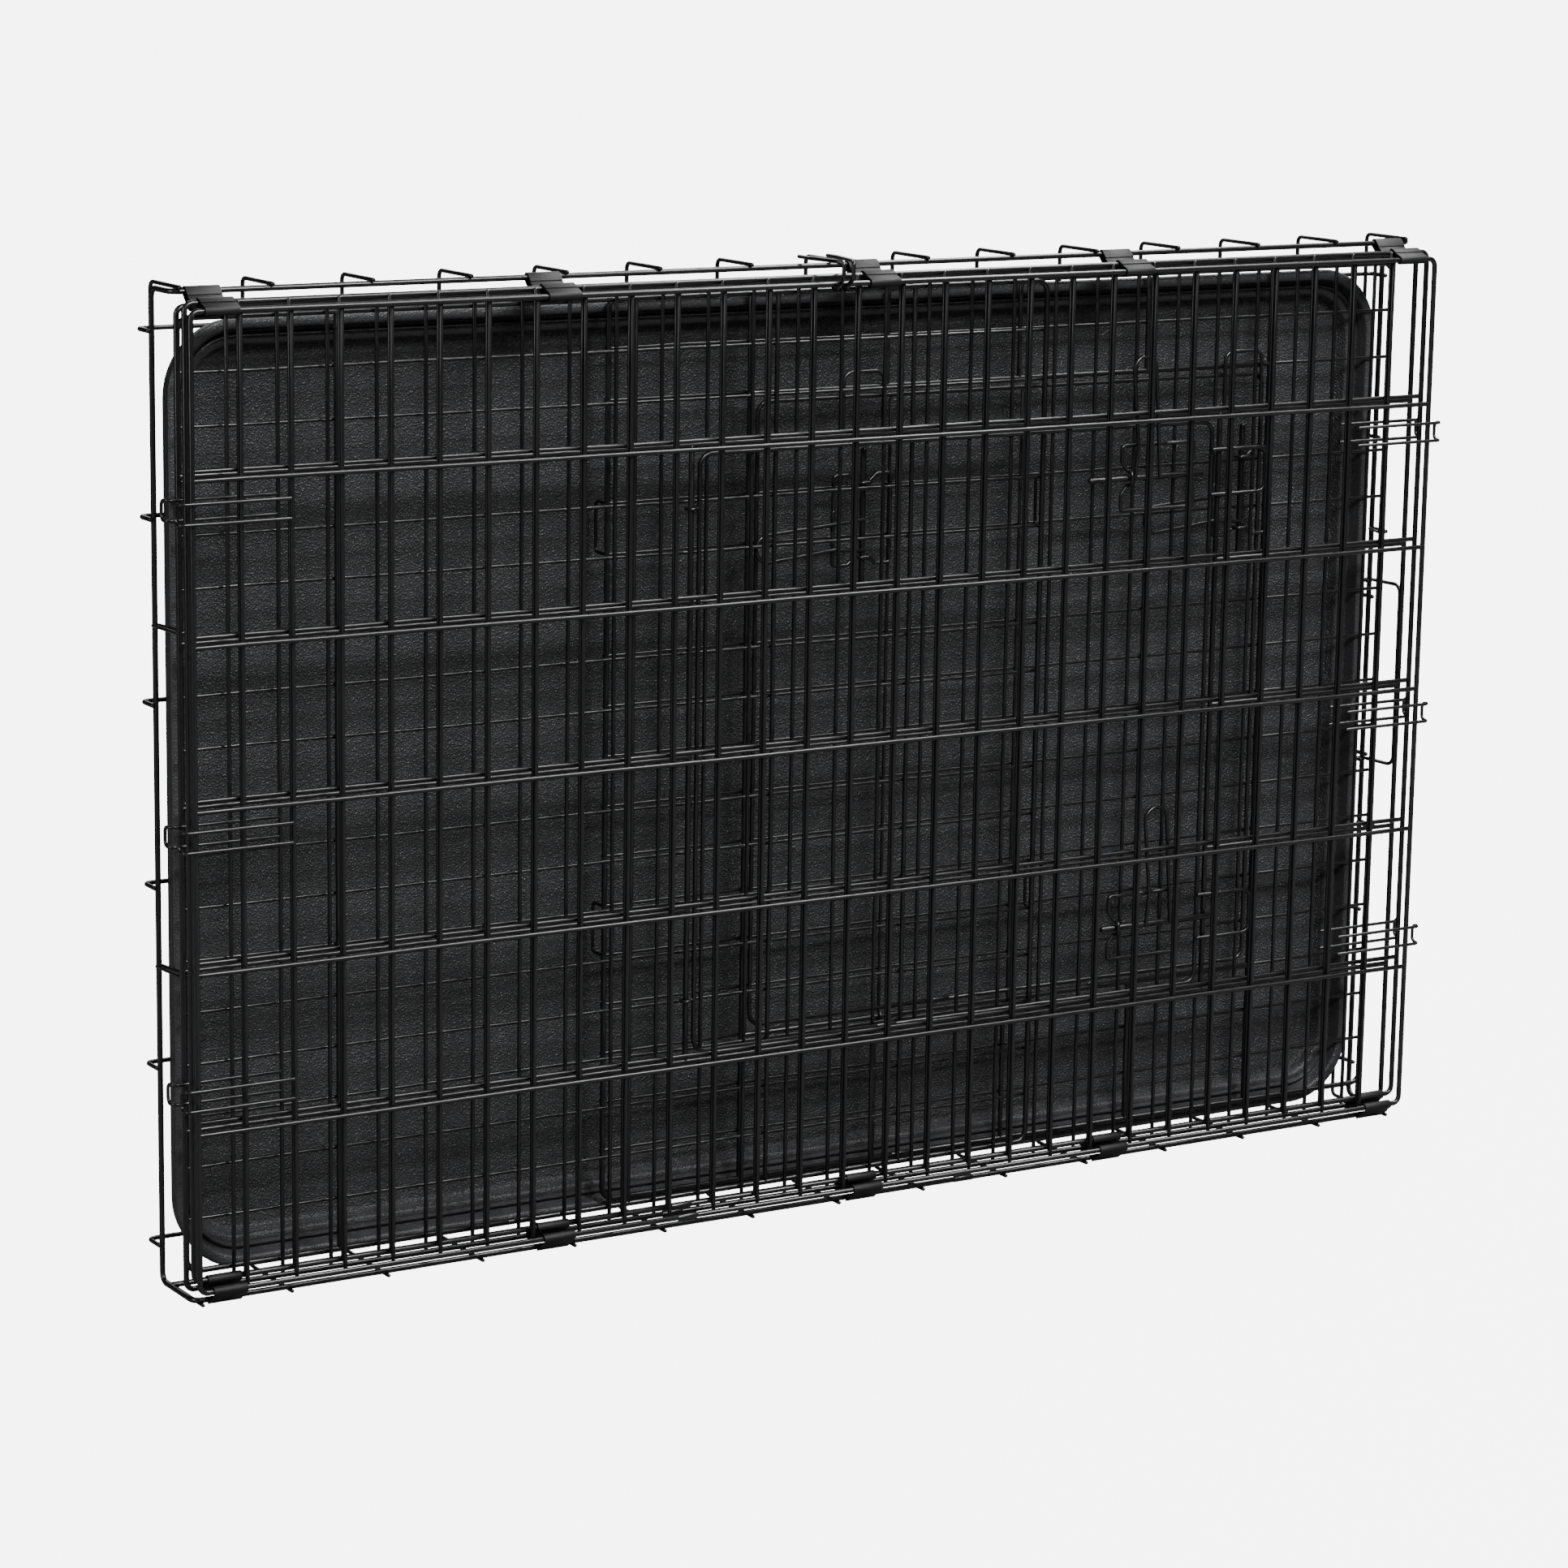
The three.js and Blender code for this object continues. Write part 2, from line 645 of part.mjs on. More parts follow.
// A wire bail whose arms curl around the right end rod.
function panStopSolid() {
  const reach = rimRadius + play + wireRadius;
  const low = stopLow;
  const high = stopHigh;
  const away = at(0.06, -1, 0).normalize();
  const across = zAxis.clone().cross(away);
  const rod = (z) => at(endRodX, endRodDepth, z);
  const curlAt = (z) => arc(rod(z), reach, away, across, 1.75 * Math.PI, 0.5 * Math.PI, 5);
  const tip = (z) => rod(z).addScaledVector(away, stopReach).addScaledVector(across, reach);
  const pieces = [wire(bend([
    tip(low).addScaledVector(away, -stopReach),
    tip(low),
    tip(high),
    tip(high).addScaledVector(away, -stopReach),
  ], 5), wireRadius, at(1, 0.06, 0).normalize())];
  for (const z of [low, high]) {
    pieces.push(wire(curlAt(z), wireRadius, zAxis));
  }
  return join(pieces);
}

addPart('pan_stop', panStopSolid());

// ---- latches ------------------------------------------------------------

// Latches are built lying along X with the handle up Z, bolt at the origin, wires facing -Y.
// The bracket is one bent wire with a notch on each side that the bolt runs through.
function bracketSolid() {
  const x = bracketLength / 2;
  const z = bracketWidth / 2;
  const notch = boltRadius + play + wireRadius;
  const out = -notch - notchDepth;
  const half = seam - 1;
  const rightSide = [
    at(x, 0, z),
    at(x, 0, notch + 7),
    at(x - notchSet, 0, notch + 1),
    at(x - notchSet, out, notch),
    at(x - notchSet, out, -notch),
    at(x - notchSet, 0, -notch - 1),
    at(x, 0, -notch - 7),
    at(x, 0, -z),
  ];
  const leftSide = rightSide.map((point) => at(-point.x, point.y, point.z)).reverse();
  const path = bend([at(half, 0, z), ...rightSide, ...leftSide, at(-half, 0, z)], 2, 1);
  const sleeve = straight(at(-half - 2, 0, z), at(half + 2, 0, z), wireRadius + 0.2);
  return wire(path, wireRadius, at(0.3, 0.9, 0.3).normalize()).add(sleeve);
}

// The slide bolt and its hairpin handle.
function boltSolid(shift) {
  const base = -boltRadius + 0.8;
  const half = handleWidth / 2;
  const bolt = straight(at(-boltLength / 2, 0, 0), at(boltLength / 2, 0, 0), boltRadius);
  const handle = wire(bend([
    at(shift - half, base - 0.8, -1),
    at(shift - half + 2, base - 0.8, 22),
    at(shift - half - 4, base - 0.8, handleReach),
    at(shift + half - 6, base - 0.8, handleReach),
    at(shift + half, base - 0.8, -1),
  ], 9, 2), wireRadius);
  return bolt.add(handle);
}

// The keeper: a short hairpin of wire that takes the bolt's tip.
function keeperSolid() {
  const half = keeperWidth / 2;
  return wire(bend([
    at(0, 0, half),
    at(keeperLength, 0, half),
    at(keeperLength, 0, -half),
    at(0, 0, -half),
  ], 6), wireRadius);
}

function moved(solid, place, quarterTurns = 0) {
  const turned = quarterTurns ? solid.rotate([0, -90 * quarterTurns, 0]) : solid;
  return turned.translate([place.x, place.y, place.z]);
}

const boltClear = 0.4;         // bolts ride this far off the panels' rods
const sideLatchX = sideDoor.right - sideLatchInset;
const sideBoltDepth = backDepth - rimRadius - play - boltRadius - boltClear;
const sideBracketDepth = backDepth - rimRadius - play - wireRadius;
const sideLatches = [
  { name: 'side_latch_upper', z: backLow + sideLatchRows.upper * backRow, pull: -boltTravel / 2 },
  { name: 'side_latch_lower', z: backLow + sideLatchRows.lower * backRow, pull: boltTravel / 2 },
];
for (const latch of sideLatches) {
  const frame = at(sideLatchX, sideBracketDepth, latch.z);
  addPart(latch.name + '_bracket', moved(bracketSolid(), frame));
  addPart(latch.name + '_bolt', moved(boltSolid(0), at(sideLatchX + latch.pull, sideBoltDepth, latch.z)));
  const keeperSpot = at(sideDoor.right - sideKeeperLap, sideBracketDepth, latch.z);
  addPart(latch.name + '_keeper', moved(keeperSolid(), keeperSpot));
}

const endLatchZ = endColumnZ(endDoor.latchColumn) - endLatchInset;
const endBoltDepth = endRightDepth - rimRadius - play - boltRadius - boltClear;
const endBracketDepth = endRightDepth - rimRadius - play - wireRadius;
const endLatches = [
  { name: 'end_latch_upper', x: endHingeX - endLatchRows.upper * endRowPitch },
  { name: 'end_latch_lower', x: endHingeX - endLatchRows.lower * endRowPitch },
];
for (const latch of endLatches) {
  addPart(latch.name + '_bracket', moved(bracketSolid(), at(latch.x, endBracketDepth, endLatchZ), 1));
  addPart(latch.name + '_bolt', moved(boltSolid(-boltTravel / 2), at(latch.x, endBoltDepth, endLatchZ), 1));
  const keeperZ = endColumnZ(endDoor.latchColumn) - endKeeperLap;
  addPart(latch.name + '_keeper', moved(keeperSolid(), at(latch.x, endBracketDepth, keeperZ), 1));
}

// ---- hooks --------------------------------------------------------------

// A hairpin hook welded over the last uprights of a side panel. Its nose curls past the rim
// and takes the end panel's edge rod when the crate is up.
function edgeHook(side, panelDepth, z) {
  const depth = panelDepth - rimRadius - play - thinRadius;
  const outer = side * (halfLength + hookNose);
  const inner = side * (halfLength - 2 * columnPitch + hookTail);
  return wire(bend([
    at(inner, depth, z - hookGap),
    at(outer, depth, z - hookGap),
    at(outer, depth + hookDrop, z - hookGap),
    at(outer, depth + hookDrop, z + hookGap),
    at(outer, depth, z + hookGap),
    at(inner, depth, z + hookGap),
  ], 2.8, 1), thinRadius, at(0.3, 0.9, 0.3).normalize());
}

const hookPanels = [
  { name: 'front_hook', depth: frontDepth },
  { name: 'back_hook', depth: backDepth },
];
for (const panel of hookPanels) {
  for (const side of [-1, 1]) {
    hookRows.forEach((row, index) => {
      const name = `${panel.name}_${side < 0 ? 'left' : 'right'}_${index + 1}`;
      addPart(name, edgeHook(side, panel.depth, frontLow + (row * sideHeight) / rows));
    });
  }
}

// Two closing hooks sit under the front panel's top rod, rise in front of it and lie back
// over the base's top rod. They stand clear of the roof's rod, which turns past them.
function closingHook(x, lean) {
  const reach = rimRadius + play + wireRadius;
  const eye = arc(at(x, frontDepth, frontHigh), reach, yAxis, zAxis, 0, -Math.PI, 5);
  const over = wallHigh + 2 * wireRadius + 3 * play;
  const front = frontDepth - closingFront;
  return wire([
    ...eye,
    at(x, front + 1, frontHigh + 3),
    at(x, front, frontHigh + 6),
    at(x, front, over - 3),
    at(x + lean / 3, front + 3, over),
    at(x + lean, topRingDepth - 8, over),
    at(x + lean, topRingDepth + closingLap, over),
  ], wireRadius, xAxis);
}

for (const hook of closingPlaces) {
  addPart(`closing_hook_${hook.name}`, closingHook(columnX(closingColumn) + hook.past, hook.lean));
}

// ---- hinge clips --------------------------------------------------------

// A sheet clip wrapped around two parallel rods, given as [depth, height] pairs.
function clipSolid(rodA, rodB, x) {
  const centreA = new THREE.Vector2(rodA[0], rodA[1]);
  const centreB = new THREE.Vector2(rodB[0], rodB[1]);
  const along = Math.atan2(centreB.y - centreA.y, centreB.x - centreA.x);
  const outline = (radius) => {
    const points = [];
    for (const [centre, start] of [[centreB, -0.5], [centreA, 0.5]]) {
      for (let k = 0; k <= clipFacets; k += 1) {
        const angle = along + (start + k / clipFacets) * Math.PI;
        const out = new THREE.Vector2(Math.cos(angle), Math.sin(angle));
        points.push(out.multiplyScalar(radius).add(centre));
      }
    }
    return points;
  };
  const inner = (rimRadius + play) / Math.cos(Math.PI / (2 * clipFacets));
  const shape = new THREE.Shape(outline(inner + clipSheet));
  shape.holes.push(new THREE.Path(outline(inner)));
  const sheet = new THREE.ExtrudeGeometry(shape, { depth: clipLength, bevelEnabled: false });
  sheet.applyMatrix4(new THREE.Matrix4().makeBasis(yAxis, zAxis, xAxis));
  sheet.translate(x - clipLength / 2, 0, 0);
  return toSolid(sheet);
}

// The low clips are open at the back, where the base's low rod can leave them.
function openBehind(solid, depth) {
  const block = new THREE.BoxGeometry(crateLength, 30, 60);
  block.translate(0, depth + 15, ringLow);
  return solid.subtract(toSolid(block));
}

const clipRows = [
  { name: 'clip_base_top', rods: [[topRingDepth, ringTop], [backDepth, backHigh]] },
  { name: 'clip_back_roof', rods: [[backDepth, backLow], [roofDepth, roofLow]] },
  { name: 'clip_roof_front', rods: [[roofDepth, roofHigh], [frontDepth, frontHigh]] },
  { name: 'clip_base_low', rods: [[lowRingDepth, ringLow], [frontDepth, frontLow]], open: true },
];
for (const row of clipRows) {
  clipColumns.forEach((column, index) => {
    const name = `${row.name}_${index + 1}`;
    const sheet = clipSolid(row.rods[0], row.rods[1], columnX(column));
    addPart(name, row.open ? openBehind(sheet, lowRingDepth + 0.5) : sheet);
  });
}

// ---- stand it on its base centre ---------------------------------------

group.updateMatrixWorld(true);
const box = new THREE.Box3().setFromObject(group);
group.position.set(-(box.min.x + box.max.x) / 2, -(box.min.y + box.max.y) / 2, -box.min.z);

export default group;
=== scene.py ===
# Folding wire dog crate, folded flat and stood on its long edge.
import bpy
import bmesh
import json
import math
import random
from mathutils import Euler, Matrix, Vector


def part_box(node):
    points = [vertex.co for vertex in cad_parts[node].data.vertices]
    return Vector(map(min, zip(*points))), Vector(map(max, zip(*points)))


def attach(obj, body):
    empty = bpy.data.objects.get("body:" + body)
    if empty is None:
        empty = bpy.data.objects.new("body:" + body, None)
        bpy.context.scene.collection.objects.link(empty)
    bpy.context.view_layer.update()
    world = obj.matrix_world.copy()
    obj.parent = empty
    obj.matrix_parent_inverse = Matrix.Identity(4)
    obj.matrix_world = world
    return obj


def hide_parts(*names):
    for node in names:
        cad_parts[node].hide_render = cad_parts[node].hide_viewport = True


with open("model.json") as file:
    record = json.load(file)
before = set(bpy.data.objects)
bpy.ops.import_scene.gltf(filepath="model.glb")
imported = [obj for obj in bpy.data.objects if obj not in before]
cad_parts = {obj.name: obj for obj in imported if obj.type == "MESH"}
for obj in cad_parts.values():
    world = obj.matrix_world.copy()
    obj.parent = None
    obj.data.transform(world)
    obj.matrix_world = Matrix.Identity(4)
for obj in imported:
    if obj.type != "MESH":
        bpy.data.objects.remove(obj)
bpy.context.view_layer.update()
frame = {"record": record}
print("frame loaded")

mm = 0.001
crateLength = 914
xAxis, yAxis, zAxis = Vector((1, 0, 0)), Vector((0, 1, 0)), Vector((0, 0, 1))
bodyOfNode = {node: body for body, nodes in frame["record"]["behaviour"]["bodies"].items() for node in nodes}

# radii in millimetres; ringSteps rounds each wire and turnSteps each curl
gauge = {
    "rim": 1.8, "cross": 1.5, "wire": 1.3, "thin": 1.1, "bolt": 2.0, "weld": 0.4, "play": 0.3,
    "ringSteps": 3, "turnSteps": 12,
}
flatShare = math.cos(math.pi / 6)  # the frame's bars are six-sided, and this is how far out their flats lie
smoothAngle, edgeAngle = math.radians(42), math.radians(50)

# middles of the rods, back from the foremost wire, and up from the crate's own zero line
layers = {
    "front": 2, "roof": 10.7, "back": 22, "endLeft": 28.4, "endRight": 42.6, "trayRim": 47, "floor": 69.8,
}
heights = {
    "frontLow": -2, "frontHigh": 586, "roofLow": 3, "roofHigh": 590,
    "backLow": -5, "backHigh": 587, "baseLow": -9.5, "baseHigh": 595,
}

# the crate's own zero, found from the front panel's lowest corner, where its weld sleeve stands proud
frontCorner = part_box("side_panel_front")[0] / mm
sleeve = gauge["rim"] + gauge["play"]
origin = Vector((
    0,
    frontCorner.y - (layers["front"] - sleeve),
    frontCorner.z - (heights["frontLow"] - sleeve * flatShare),
))
halfLength = crateLength / 2 - gauge["rim"]


def addNode(tree, kind, spot, **values):
    node = tree.nodes.new(kind)
    node.location = spot
    for key, value in values.items():
        if key in node.inputs:
            node.inputs[key].default_value = value
        else:
            setattr(node, key, value)
    return node


def makeCoatGrain():  # soft orange peel, dust and rubbed spots of a dipped coat
    group = bpy.data.node_groups.new("coatGrain", "ShaderNodeTree")
    sockets = group.interface
    for name, value in (("Peel size", 900.0), ("Dust", 0.1), ("Rub", 0.1)):
        sockets.new_socket(name, in_out="INPUT", socket_type="NodeSocketFloat").default_value = value
    sockets.new_socket("Vector", in_out="INPUT", socket_type="NodeSocketVector")
    for name in ("Height", "Dust mask", "Rub mask", "Drift"):
        sockets.new_socket(name, in_out="OUTPUT", socket_type="NodeSocketFloat")
    start = addNode(group, "NodeGroupInput", (-900, 0))
    end = addNode(group, "NodeGroupOutput", (500, 0))
    peel = addNode(group, "ShaderNodeTexNoise", (-600, 300), Detail=2.0, Roughness=0.5)
    dust = addNode(group, "ShaderNodeTexNoise", (-600, 60), Scale=2600.0, Detail=1.0)
    patch = addNode(group, "ShaderNodeTexNoise", (-600, -180), Scale=16.0, Detail=3.0)
    rub = addNode(group, "ShaderNodeTexNoise", (-600, -420), Scale=210.0, Detail=4.0, Roughness=0.65)
    for node in (peel, dust, patch, rub):
        group.links.new(start.outputs["Vector"], node.inputs["Vector"])
    group.links.new(start.outputs["Peel size"], peel.inputs["Scale"])
    group.links.new(peel.outputs["Fac"], end.inputs["Height"])
    group.links.new(patch.outputs["Fac"], end.inputs["Drift"])
    for source, low, high, name, x in ((dust, 0.66, 0.74, "Dust", 0), (rub, 0.64, 0.70, "Rub", -300)):
        cut = addNode(group, "ShaderNodeMapRange", (-300, x), **{"From Min": low, "From Max": high})
        amount = addNode(group, "ShaderNodeMath", (0, x), operation="MULTIPLY")
        spread = addNode(group, "ShaderNodeMath", (200, x), operation="MULTIPLY")
        group.links.new(source.outputs["Fac"], cut.inputs["Value"])
        group.links.new(cut.outputs["Result"], amount.inputs[0])
        group.links.new(start.outputs[name], amount.inputs[1])
        group.links.new(amount.outputs["Value"], spread.inputs[0])
        group.links.new(patch.outputs["Fac"], spread.inputs[1])
        group.links.new(spread.outputs["Value"], end.inputs[name + " mask"])
    return group


def makePebble():  # moulded leather grain: rounded cells with fine tooth on top
    group = bpy.data.node_groups.new("mouldedPebble", "ShaderNodeTree")
    sockets = group.interface
    sockets.new_socket("Vector", in_out="INPUT", socket_type="NodeSocketVector")
    sockets.new_socket("Cell size", in_out="INPUT", socket_type="NodeSocketFloat").default_value = 420.0
    for name in ("Height", "Cell tops", "Drift"):
        sockets.new_socket(name, in_out="OUTPUT", socket_type="NodeSocketFloat")
    start = addNode(group, "NodeGroupInput", (-900, 0))
    end = addNode(group, "NodeGroupOutput", (600, 0))
    warp = addNode(group, "ShaderNodeTexNoise", (-700, 250), Scale=160.0, Detail=2.0)
    shift = addNode(group, "ShaderNodeVectorMath", (-500, 200), operation="MULTIPLY_ADD")
    shift.inputs[1].default_value = (0.003, 0.003, 0.003)
    cells = addNode(group, "ShaderNodeTexVoronoi", (-250, 200), feature="SMOOTH_F1", Smoothness=0.55)
    tooth = addNode(group, "ShaderNodeTexNoise", (-250, -80), Scale=1800.0, Detail=2.0)
    patch = addNode(group, "ShaderNodeTexNoise", (-250, -320), Scale=7.0, Detail=4.0, Roughness=0.6)
    topsAndPaintedSheen = addNode(group, "ShaderNodeMapRange", (0, 250), **{"From Min": 0.55, "From Max": 0.12})
    mix = addNode(group, "ShaderNodeMath", (250, 100), operation="MULTIPLY_ADD")
    mix.inputs[1].default_value = 0.28
    for node in (warp, tooth, patch):
        group.links.new(start.outputs["Vector"], node.inputs["Vector"])
    group.links.new(warp.outputs["Color"], shift.inputs[0])
    group.links.new(start.outputs["Vector"], shift.inputs[2])
    group.links.new(shift.outputs["Vector"], cells.inputs["Vector"])
    group.links.new(start.outputs["Cell size"], cells.inputs["Scale"])
    group.links.new(cells.outputs["Distance"], topsAndPaintedSheen.inputs["Value"])
    group.links.new(tooth.outputs["Fac"], mix.inputs[0])
    group.links.new(topsAndPaintedSheen.outputs["Result"], mix.inputs[2])
    group.links.new(mix.outputs["Value"], end.inputs["Height"])
    group.links.new(topsAndPaintedSheen.outputs["Result"], end.inputs["Cell tops"])
    group.links.new(patch.outputs["Fac"], end.inputs["Drift"])
    return group


coatGrain = makeCoatGrain()
mouldedPebble = makePebble()


def mixColour(tree, spot, mask, under, over):
    mix = addNode(tree, "ShaderNodeMix", spot, data_type="RGBA")
    tree.links.new(mask, mix.inputs["Factor"])
    for socket, value in (("A", under), ("B", over)):
        place = [s for s in mix.inputs if s.name == socket and s.type == "RGBA"][0]
        if isinstance(value, tuple):
            place.default_value = (*value, 1)
        else:
            tree.links.new(value, place)
    return [s for s in mix.outputs if s.type == "RGBA"][0]


def newMaterial(name):
    material = bpy.data.materials.new(name)
    material.use_nodes = True
    tree = material.node_tree
    return material, tree, tree.nodes["Principled BSDF"]


def makeCoat(name, look):
    material, tree, shader = newMaterial(name)
    shader.inputs["Metallic"].default_value = 0.0
    shader.inputs["IOR"].default_value = look["ior"]
    shader.inputs["Coat Weight"].default_value = look["coat"]
    shader.inputs["Coat Roughness"].default_value = look["coatRoughness"]
    place = addNode(tree, "ShaderNodeTexCoord", (-1300, 0))
    grain = addNode(tree, "ShaderNodeGroup", (-1050, 0), node_tree=coatGrain)
    grain.inputs["Peel size"].default_value = look["peelSize"]
    grain.inputs["Dust"].default_value = look["dust"]
    grain.inputs["Rub"].default_value = look["rub"]
    tree.links.new(place.outputs["Object"], grain.inputs["Vector"])
    drift = mixColour(tree, (-700, 200), grain.outputs["Drift"], look["deep"], look["pale"])
    rubbed = mixColour(tree, (-500, 200), grain.outputs["Rub mask"], drift, look["rubColour"])
    dusty = mixColour(tree, (-300, 200), grain.outputs["Dust mask"], rubbed, look["dustColour"])
    tree.links.new(dusty, shader.inputs["Base Color"])
    rough = addNode(tree, "ShaderNodeMapRange", (-600, -60))
    rough.inputs["To Min"].default_value = look["smoothest"]
    rough.inputs["To Max"].default_value = look["roughest"]
    tree.links.new(grain.outputs["Drift"], rough.inputs["Value"])
    tree.links.new(rough.outputs["Result"], shader.inputs["Roughness"])
    bump = addNode(tree, "ShaderNodeBump", (-300, -300), Strength=look["bump"], Distance=look["bumpDepth"])
    tree.links.new(grain.outputs["Height"], bump.inputs["Height"])
    tree.links.new(bump.outputs["Normal"], shader.inputs["Normal"])
    return material


def makeTrayPlastic(name, look):
    material, tree, shader = newMaterial(name)
    shader.inputs["IOR"].default_value = look["ior"]
    place = addNode(tree, "ShaderNodeTexCoord", (-1500, 0))
    pebble = addNode(tree, "ShaderNodeGroup", (-1200, 100), node_tree=mouldedPebble)
    pebble.inputs["Cell size"].default_value = look["cells"]
    grain = addNode(tree, "ShaderNodeGroup", (-1200, -250), node_tree=coatGrain)
    grain.inputs["Dust"].default_value = look["dust"]
    grain.inputs["Rub"].default_value = look["rub"]
    for node in (pebble, grain):
        tree.links.new(place.outputs["Object"], node.inputs["Vector"])
    base = mixColour(tree, (-800, 300), pebble.outputs["Drift"], look["deep"], look["pale"])
    # painted highlight: the grain's cell tops get a lighter colour for the glints of light on them, laid over
    # the real pebble texture
    paintedSheenTopped = mixColour(tree, (-600, 300), pebble.outputs["Cell tops"], base, look["topsAndPaintedSheen"])
    rubbed = mixColour(tree, (-400, 300), grain.outputs["Rub mask"], paintedSheenTopped, look["rubColour"])
    dusty = mixColour(tree, (-200, 300), grain.outputs["Dust mask"], rubbed, look["dustColour"])
    tree.links.new(dusty, shader.inputs["Base Color"])
    rough = addNode(tree, "ShaderNodeMapRange", (-600, 0))
    rough.inputs["To Min"].default_value = look["roughest"]
    rough.inputs["To Max"].default_value = look["smoothest"]
    tree.links.new(pebble.outputs["Cell tops"], rough.inputs["Value"])
    tree.links.new(rough.outputs["Result"], shader.inputs["Roughness"])
    depth = addNode(tree, "ShaderNodeSeparateXYZ", (-1200, -500))  # full grain on the floor, less on the rim
    onFloor = addNode(tree, "ShaderNodeMapRange", (-1000, -500))
    onFloor.inputs["From Min"].default_value = (layers["trayRim"] + look["grainFrom"] + origin.y) * mm
    onFloor.inputs["From Max"].default_value = (layers["trayRim"] + look["grainFull"] + origin.y) * mm
    onFloor.inputs["To Min"].default_value = look["rimGrain"]
    tree.links.new(place.outputs["Object"], depth.inputs["Vector"])
    tree.links.new(depth.outputs["Y"], onFloor.inputs["Value"])
    height = addNode(tree, "ShaderNodeMath", (-700, -350), operation="MULTIPLY")
    tree.links.new(pebble.outputs["Height"], height.inputs[0])
    tree.links.new(onFloor.outputs["Result"], height.inputs[1])
    bump = addNode(tree, "ShaderNodeBump", (-400, -300), Strength=look["bump"], Distance=look["bumpDepth"])
    tree.links.new(height.outputs["Value"], bump.inputs["Height"])
    tree.links.new(bump.outputs["Normal"], shader.inputs["Normal"])
    return material


blackWire = makeCoat("blackWire", {
    "deep": (0.0018, 0.0018, 0.002), "pale": (0.0042, 0.0041, 0.0043), "ior": 1.5, "coat": 0.2,
    "coatRoughness": 0.14, "peelSize": 700.0, "smoothest": 0.24, "roughest": 0.42, "bump": 0.25,
    "bumpDepth": 0.0002, "dust": 0.3, "dustColour": (0.04, 0.038, 0.036), "rub": 0.35,
    "rubColour": (0.016, 0.015, 0.014),
})
blackSheet = makeCoat("blackSheet", {
    "deep": (0.002, 0.002, 0.0022), "pale": (0.0045, 0.0045, 0.0048), "ior": 1.38, "coat": 0.0,
    "coatRoughness": 0.3, "peelSize": 500.0, "smoothest": 0.5, "roughest": 0.66, "bump": 0.35,
    "bumpDepth": 0.0003, "dust": 0.3, "dustColour": (0.04, 0.038, 0.036), "rub": 0.7,
    "rubColour": (0.02, 0.019, 0.018),
})
# the colour for the grain's cell tops is a painted highlight standing in for glints of light
trayPlastic = makeTrayPlastic("trayPlastic", {
    "deep": (0.0165, 0.0167, 0.0182), "pale": (0.0255, 0.0257, 0.0276), "topsAndPaintedSheen": (0.033, 0.033, 0.035),
    "ior": 1.5, "cells": 760.0, "smoothest": 0.3, "roughest": 0.54, "bump": 0.9, "bumpDepth": 0.0007,
    "rimGrain": 0.3, "grainFrom": 9, "grainFull": 15, "dust": 0.25, "dustColour": (0.1, 0.1, 0.098),
    "rub": 0.25, "rubColour": (0.06, 0.06, 0.06),
})
print("materials ready")


def at(x, y, z):
    return Vector((x, y, z))


def bend(points, radius, steps=5):  # rounds each inner corner of a wire
    path = [points[0]]
    for before, corner, after in zip(points, points[1:], points[2:]):
        back, ahead = (before - corner).normalized(), (after - corner).normalized()
        half = back.angle(ahead) / 2
        start, end = corner + back * radius / math.tan(half), corner + ahead * radius / math.tan(half)
        centre = corner + (back + ahead).normalized() * radius / math.sin(half)
        for k in range(steps + 1):
            path.append(centre + (start - centre).slerp(end - centre, k / steps).normalized() * radius)
    return path + [points[-1]]


def arc(centre, radius, axisA, axisB, start, end):
    steps = gauge["turnSteps"]
    turns = [start + (end - start) * k / steps for k in range(steps + 1)]
    return [centre + axisA * radius * math.cos(t) + axisB * radius * math.sin(t) for t in turns]


def domed(points, radius):  # a wire's ends: the coat rounds them off
    rings = [(points[0], 0.45)]
    first, last = (points[1] - points[0]).normalized(), (points[-2] - points[-1]).normalized()
    rings += [(points[0] + first * radius * 0.22, 0.85), (points[0] + first * radius * 0.6, 1.0)]
    rings += [(point, 1.0) for point in points[1:-1]]
    rings += [(points[-1] + last * radius * 0.6, 1.0), (points[-1] + last * radius * 0.22, 0.85)]
    return rings + [(points[-1], 0.45)]


wander = random.Random(36)


def slack(start, end, stations, amount=0.22):  # a long wire, never quite straight between its welds
    path = [start]
    length = (end - start).length
    for station in stations:
        spot = start.lerp(end, station)
        path.append(spot + Vector(wander.uniform(-amount, amount) for _ in range(3)) * min(1, length / 200))
    return path + [end]


def addObject(name, data):
    thing = bpy.data.objects.new(name, data)
    bpy.context.collection.objects.link(thing)
    return thing


def meshObject(name, bm):
    mesh = bpy.data.meshes.new(name)
    bm.to_mesh(mesh)
    bm.free()
    return addObject(name, mesh)


def finishPiece(piece, nodes, material):
    piece.data.materials.clear()
    piece.data.materials.append(material)
    piece.data.polygons.foreach_set("use_smooth", [True] * len(piece.data.polygons))
    piece.data.set_sharp_from_angle(angle=smoothAngle)
    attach(piece, bodyOfNode[nodes[0]])
    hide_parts(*nodes)
    return piece


def addWires(name, nodes, wires):
    curve = bpy.data.curves.new(name, "CURVE")
    curve.dimensions = "3D"
    curve.bevel_depth = mm
    curve.bevel_resolution = gauge["ringSteps"]
    curve.use_fill_caps = True
    for points, radius in wires:
        rings = domed(points, radius)
        spline = curve.splines.new("POLY")
        spline.points.add(len(rings) - 1)
        for knot, (point, share) in zip(spline.points, rings):
            knot.co = (*((point + origin) * mm), 1)
            knot.radius = radius * share
    path = addObject(name + "Path", curve)
    graph = bpy.context.evaluated_depsgraph_get()
    mesh = bpy.data.meshes.new_from_object(path.evaluated_get(graph))
    mesh.name = name
    bpy.data.objects.remove(path)
    return finishPiece(addObject(name, mesh), nodes, blackWire)


seam = {"along": 0.37, "half": 6, "overlap": 2, "bead": 0.25}


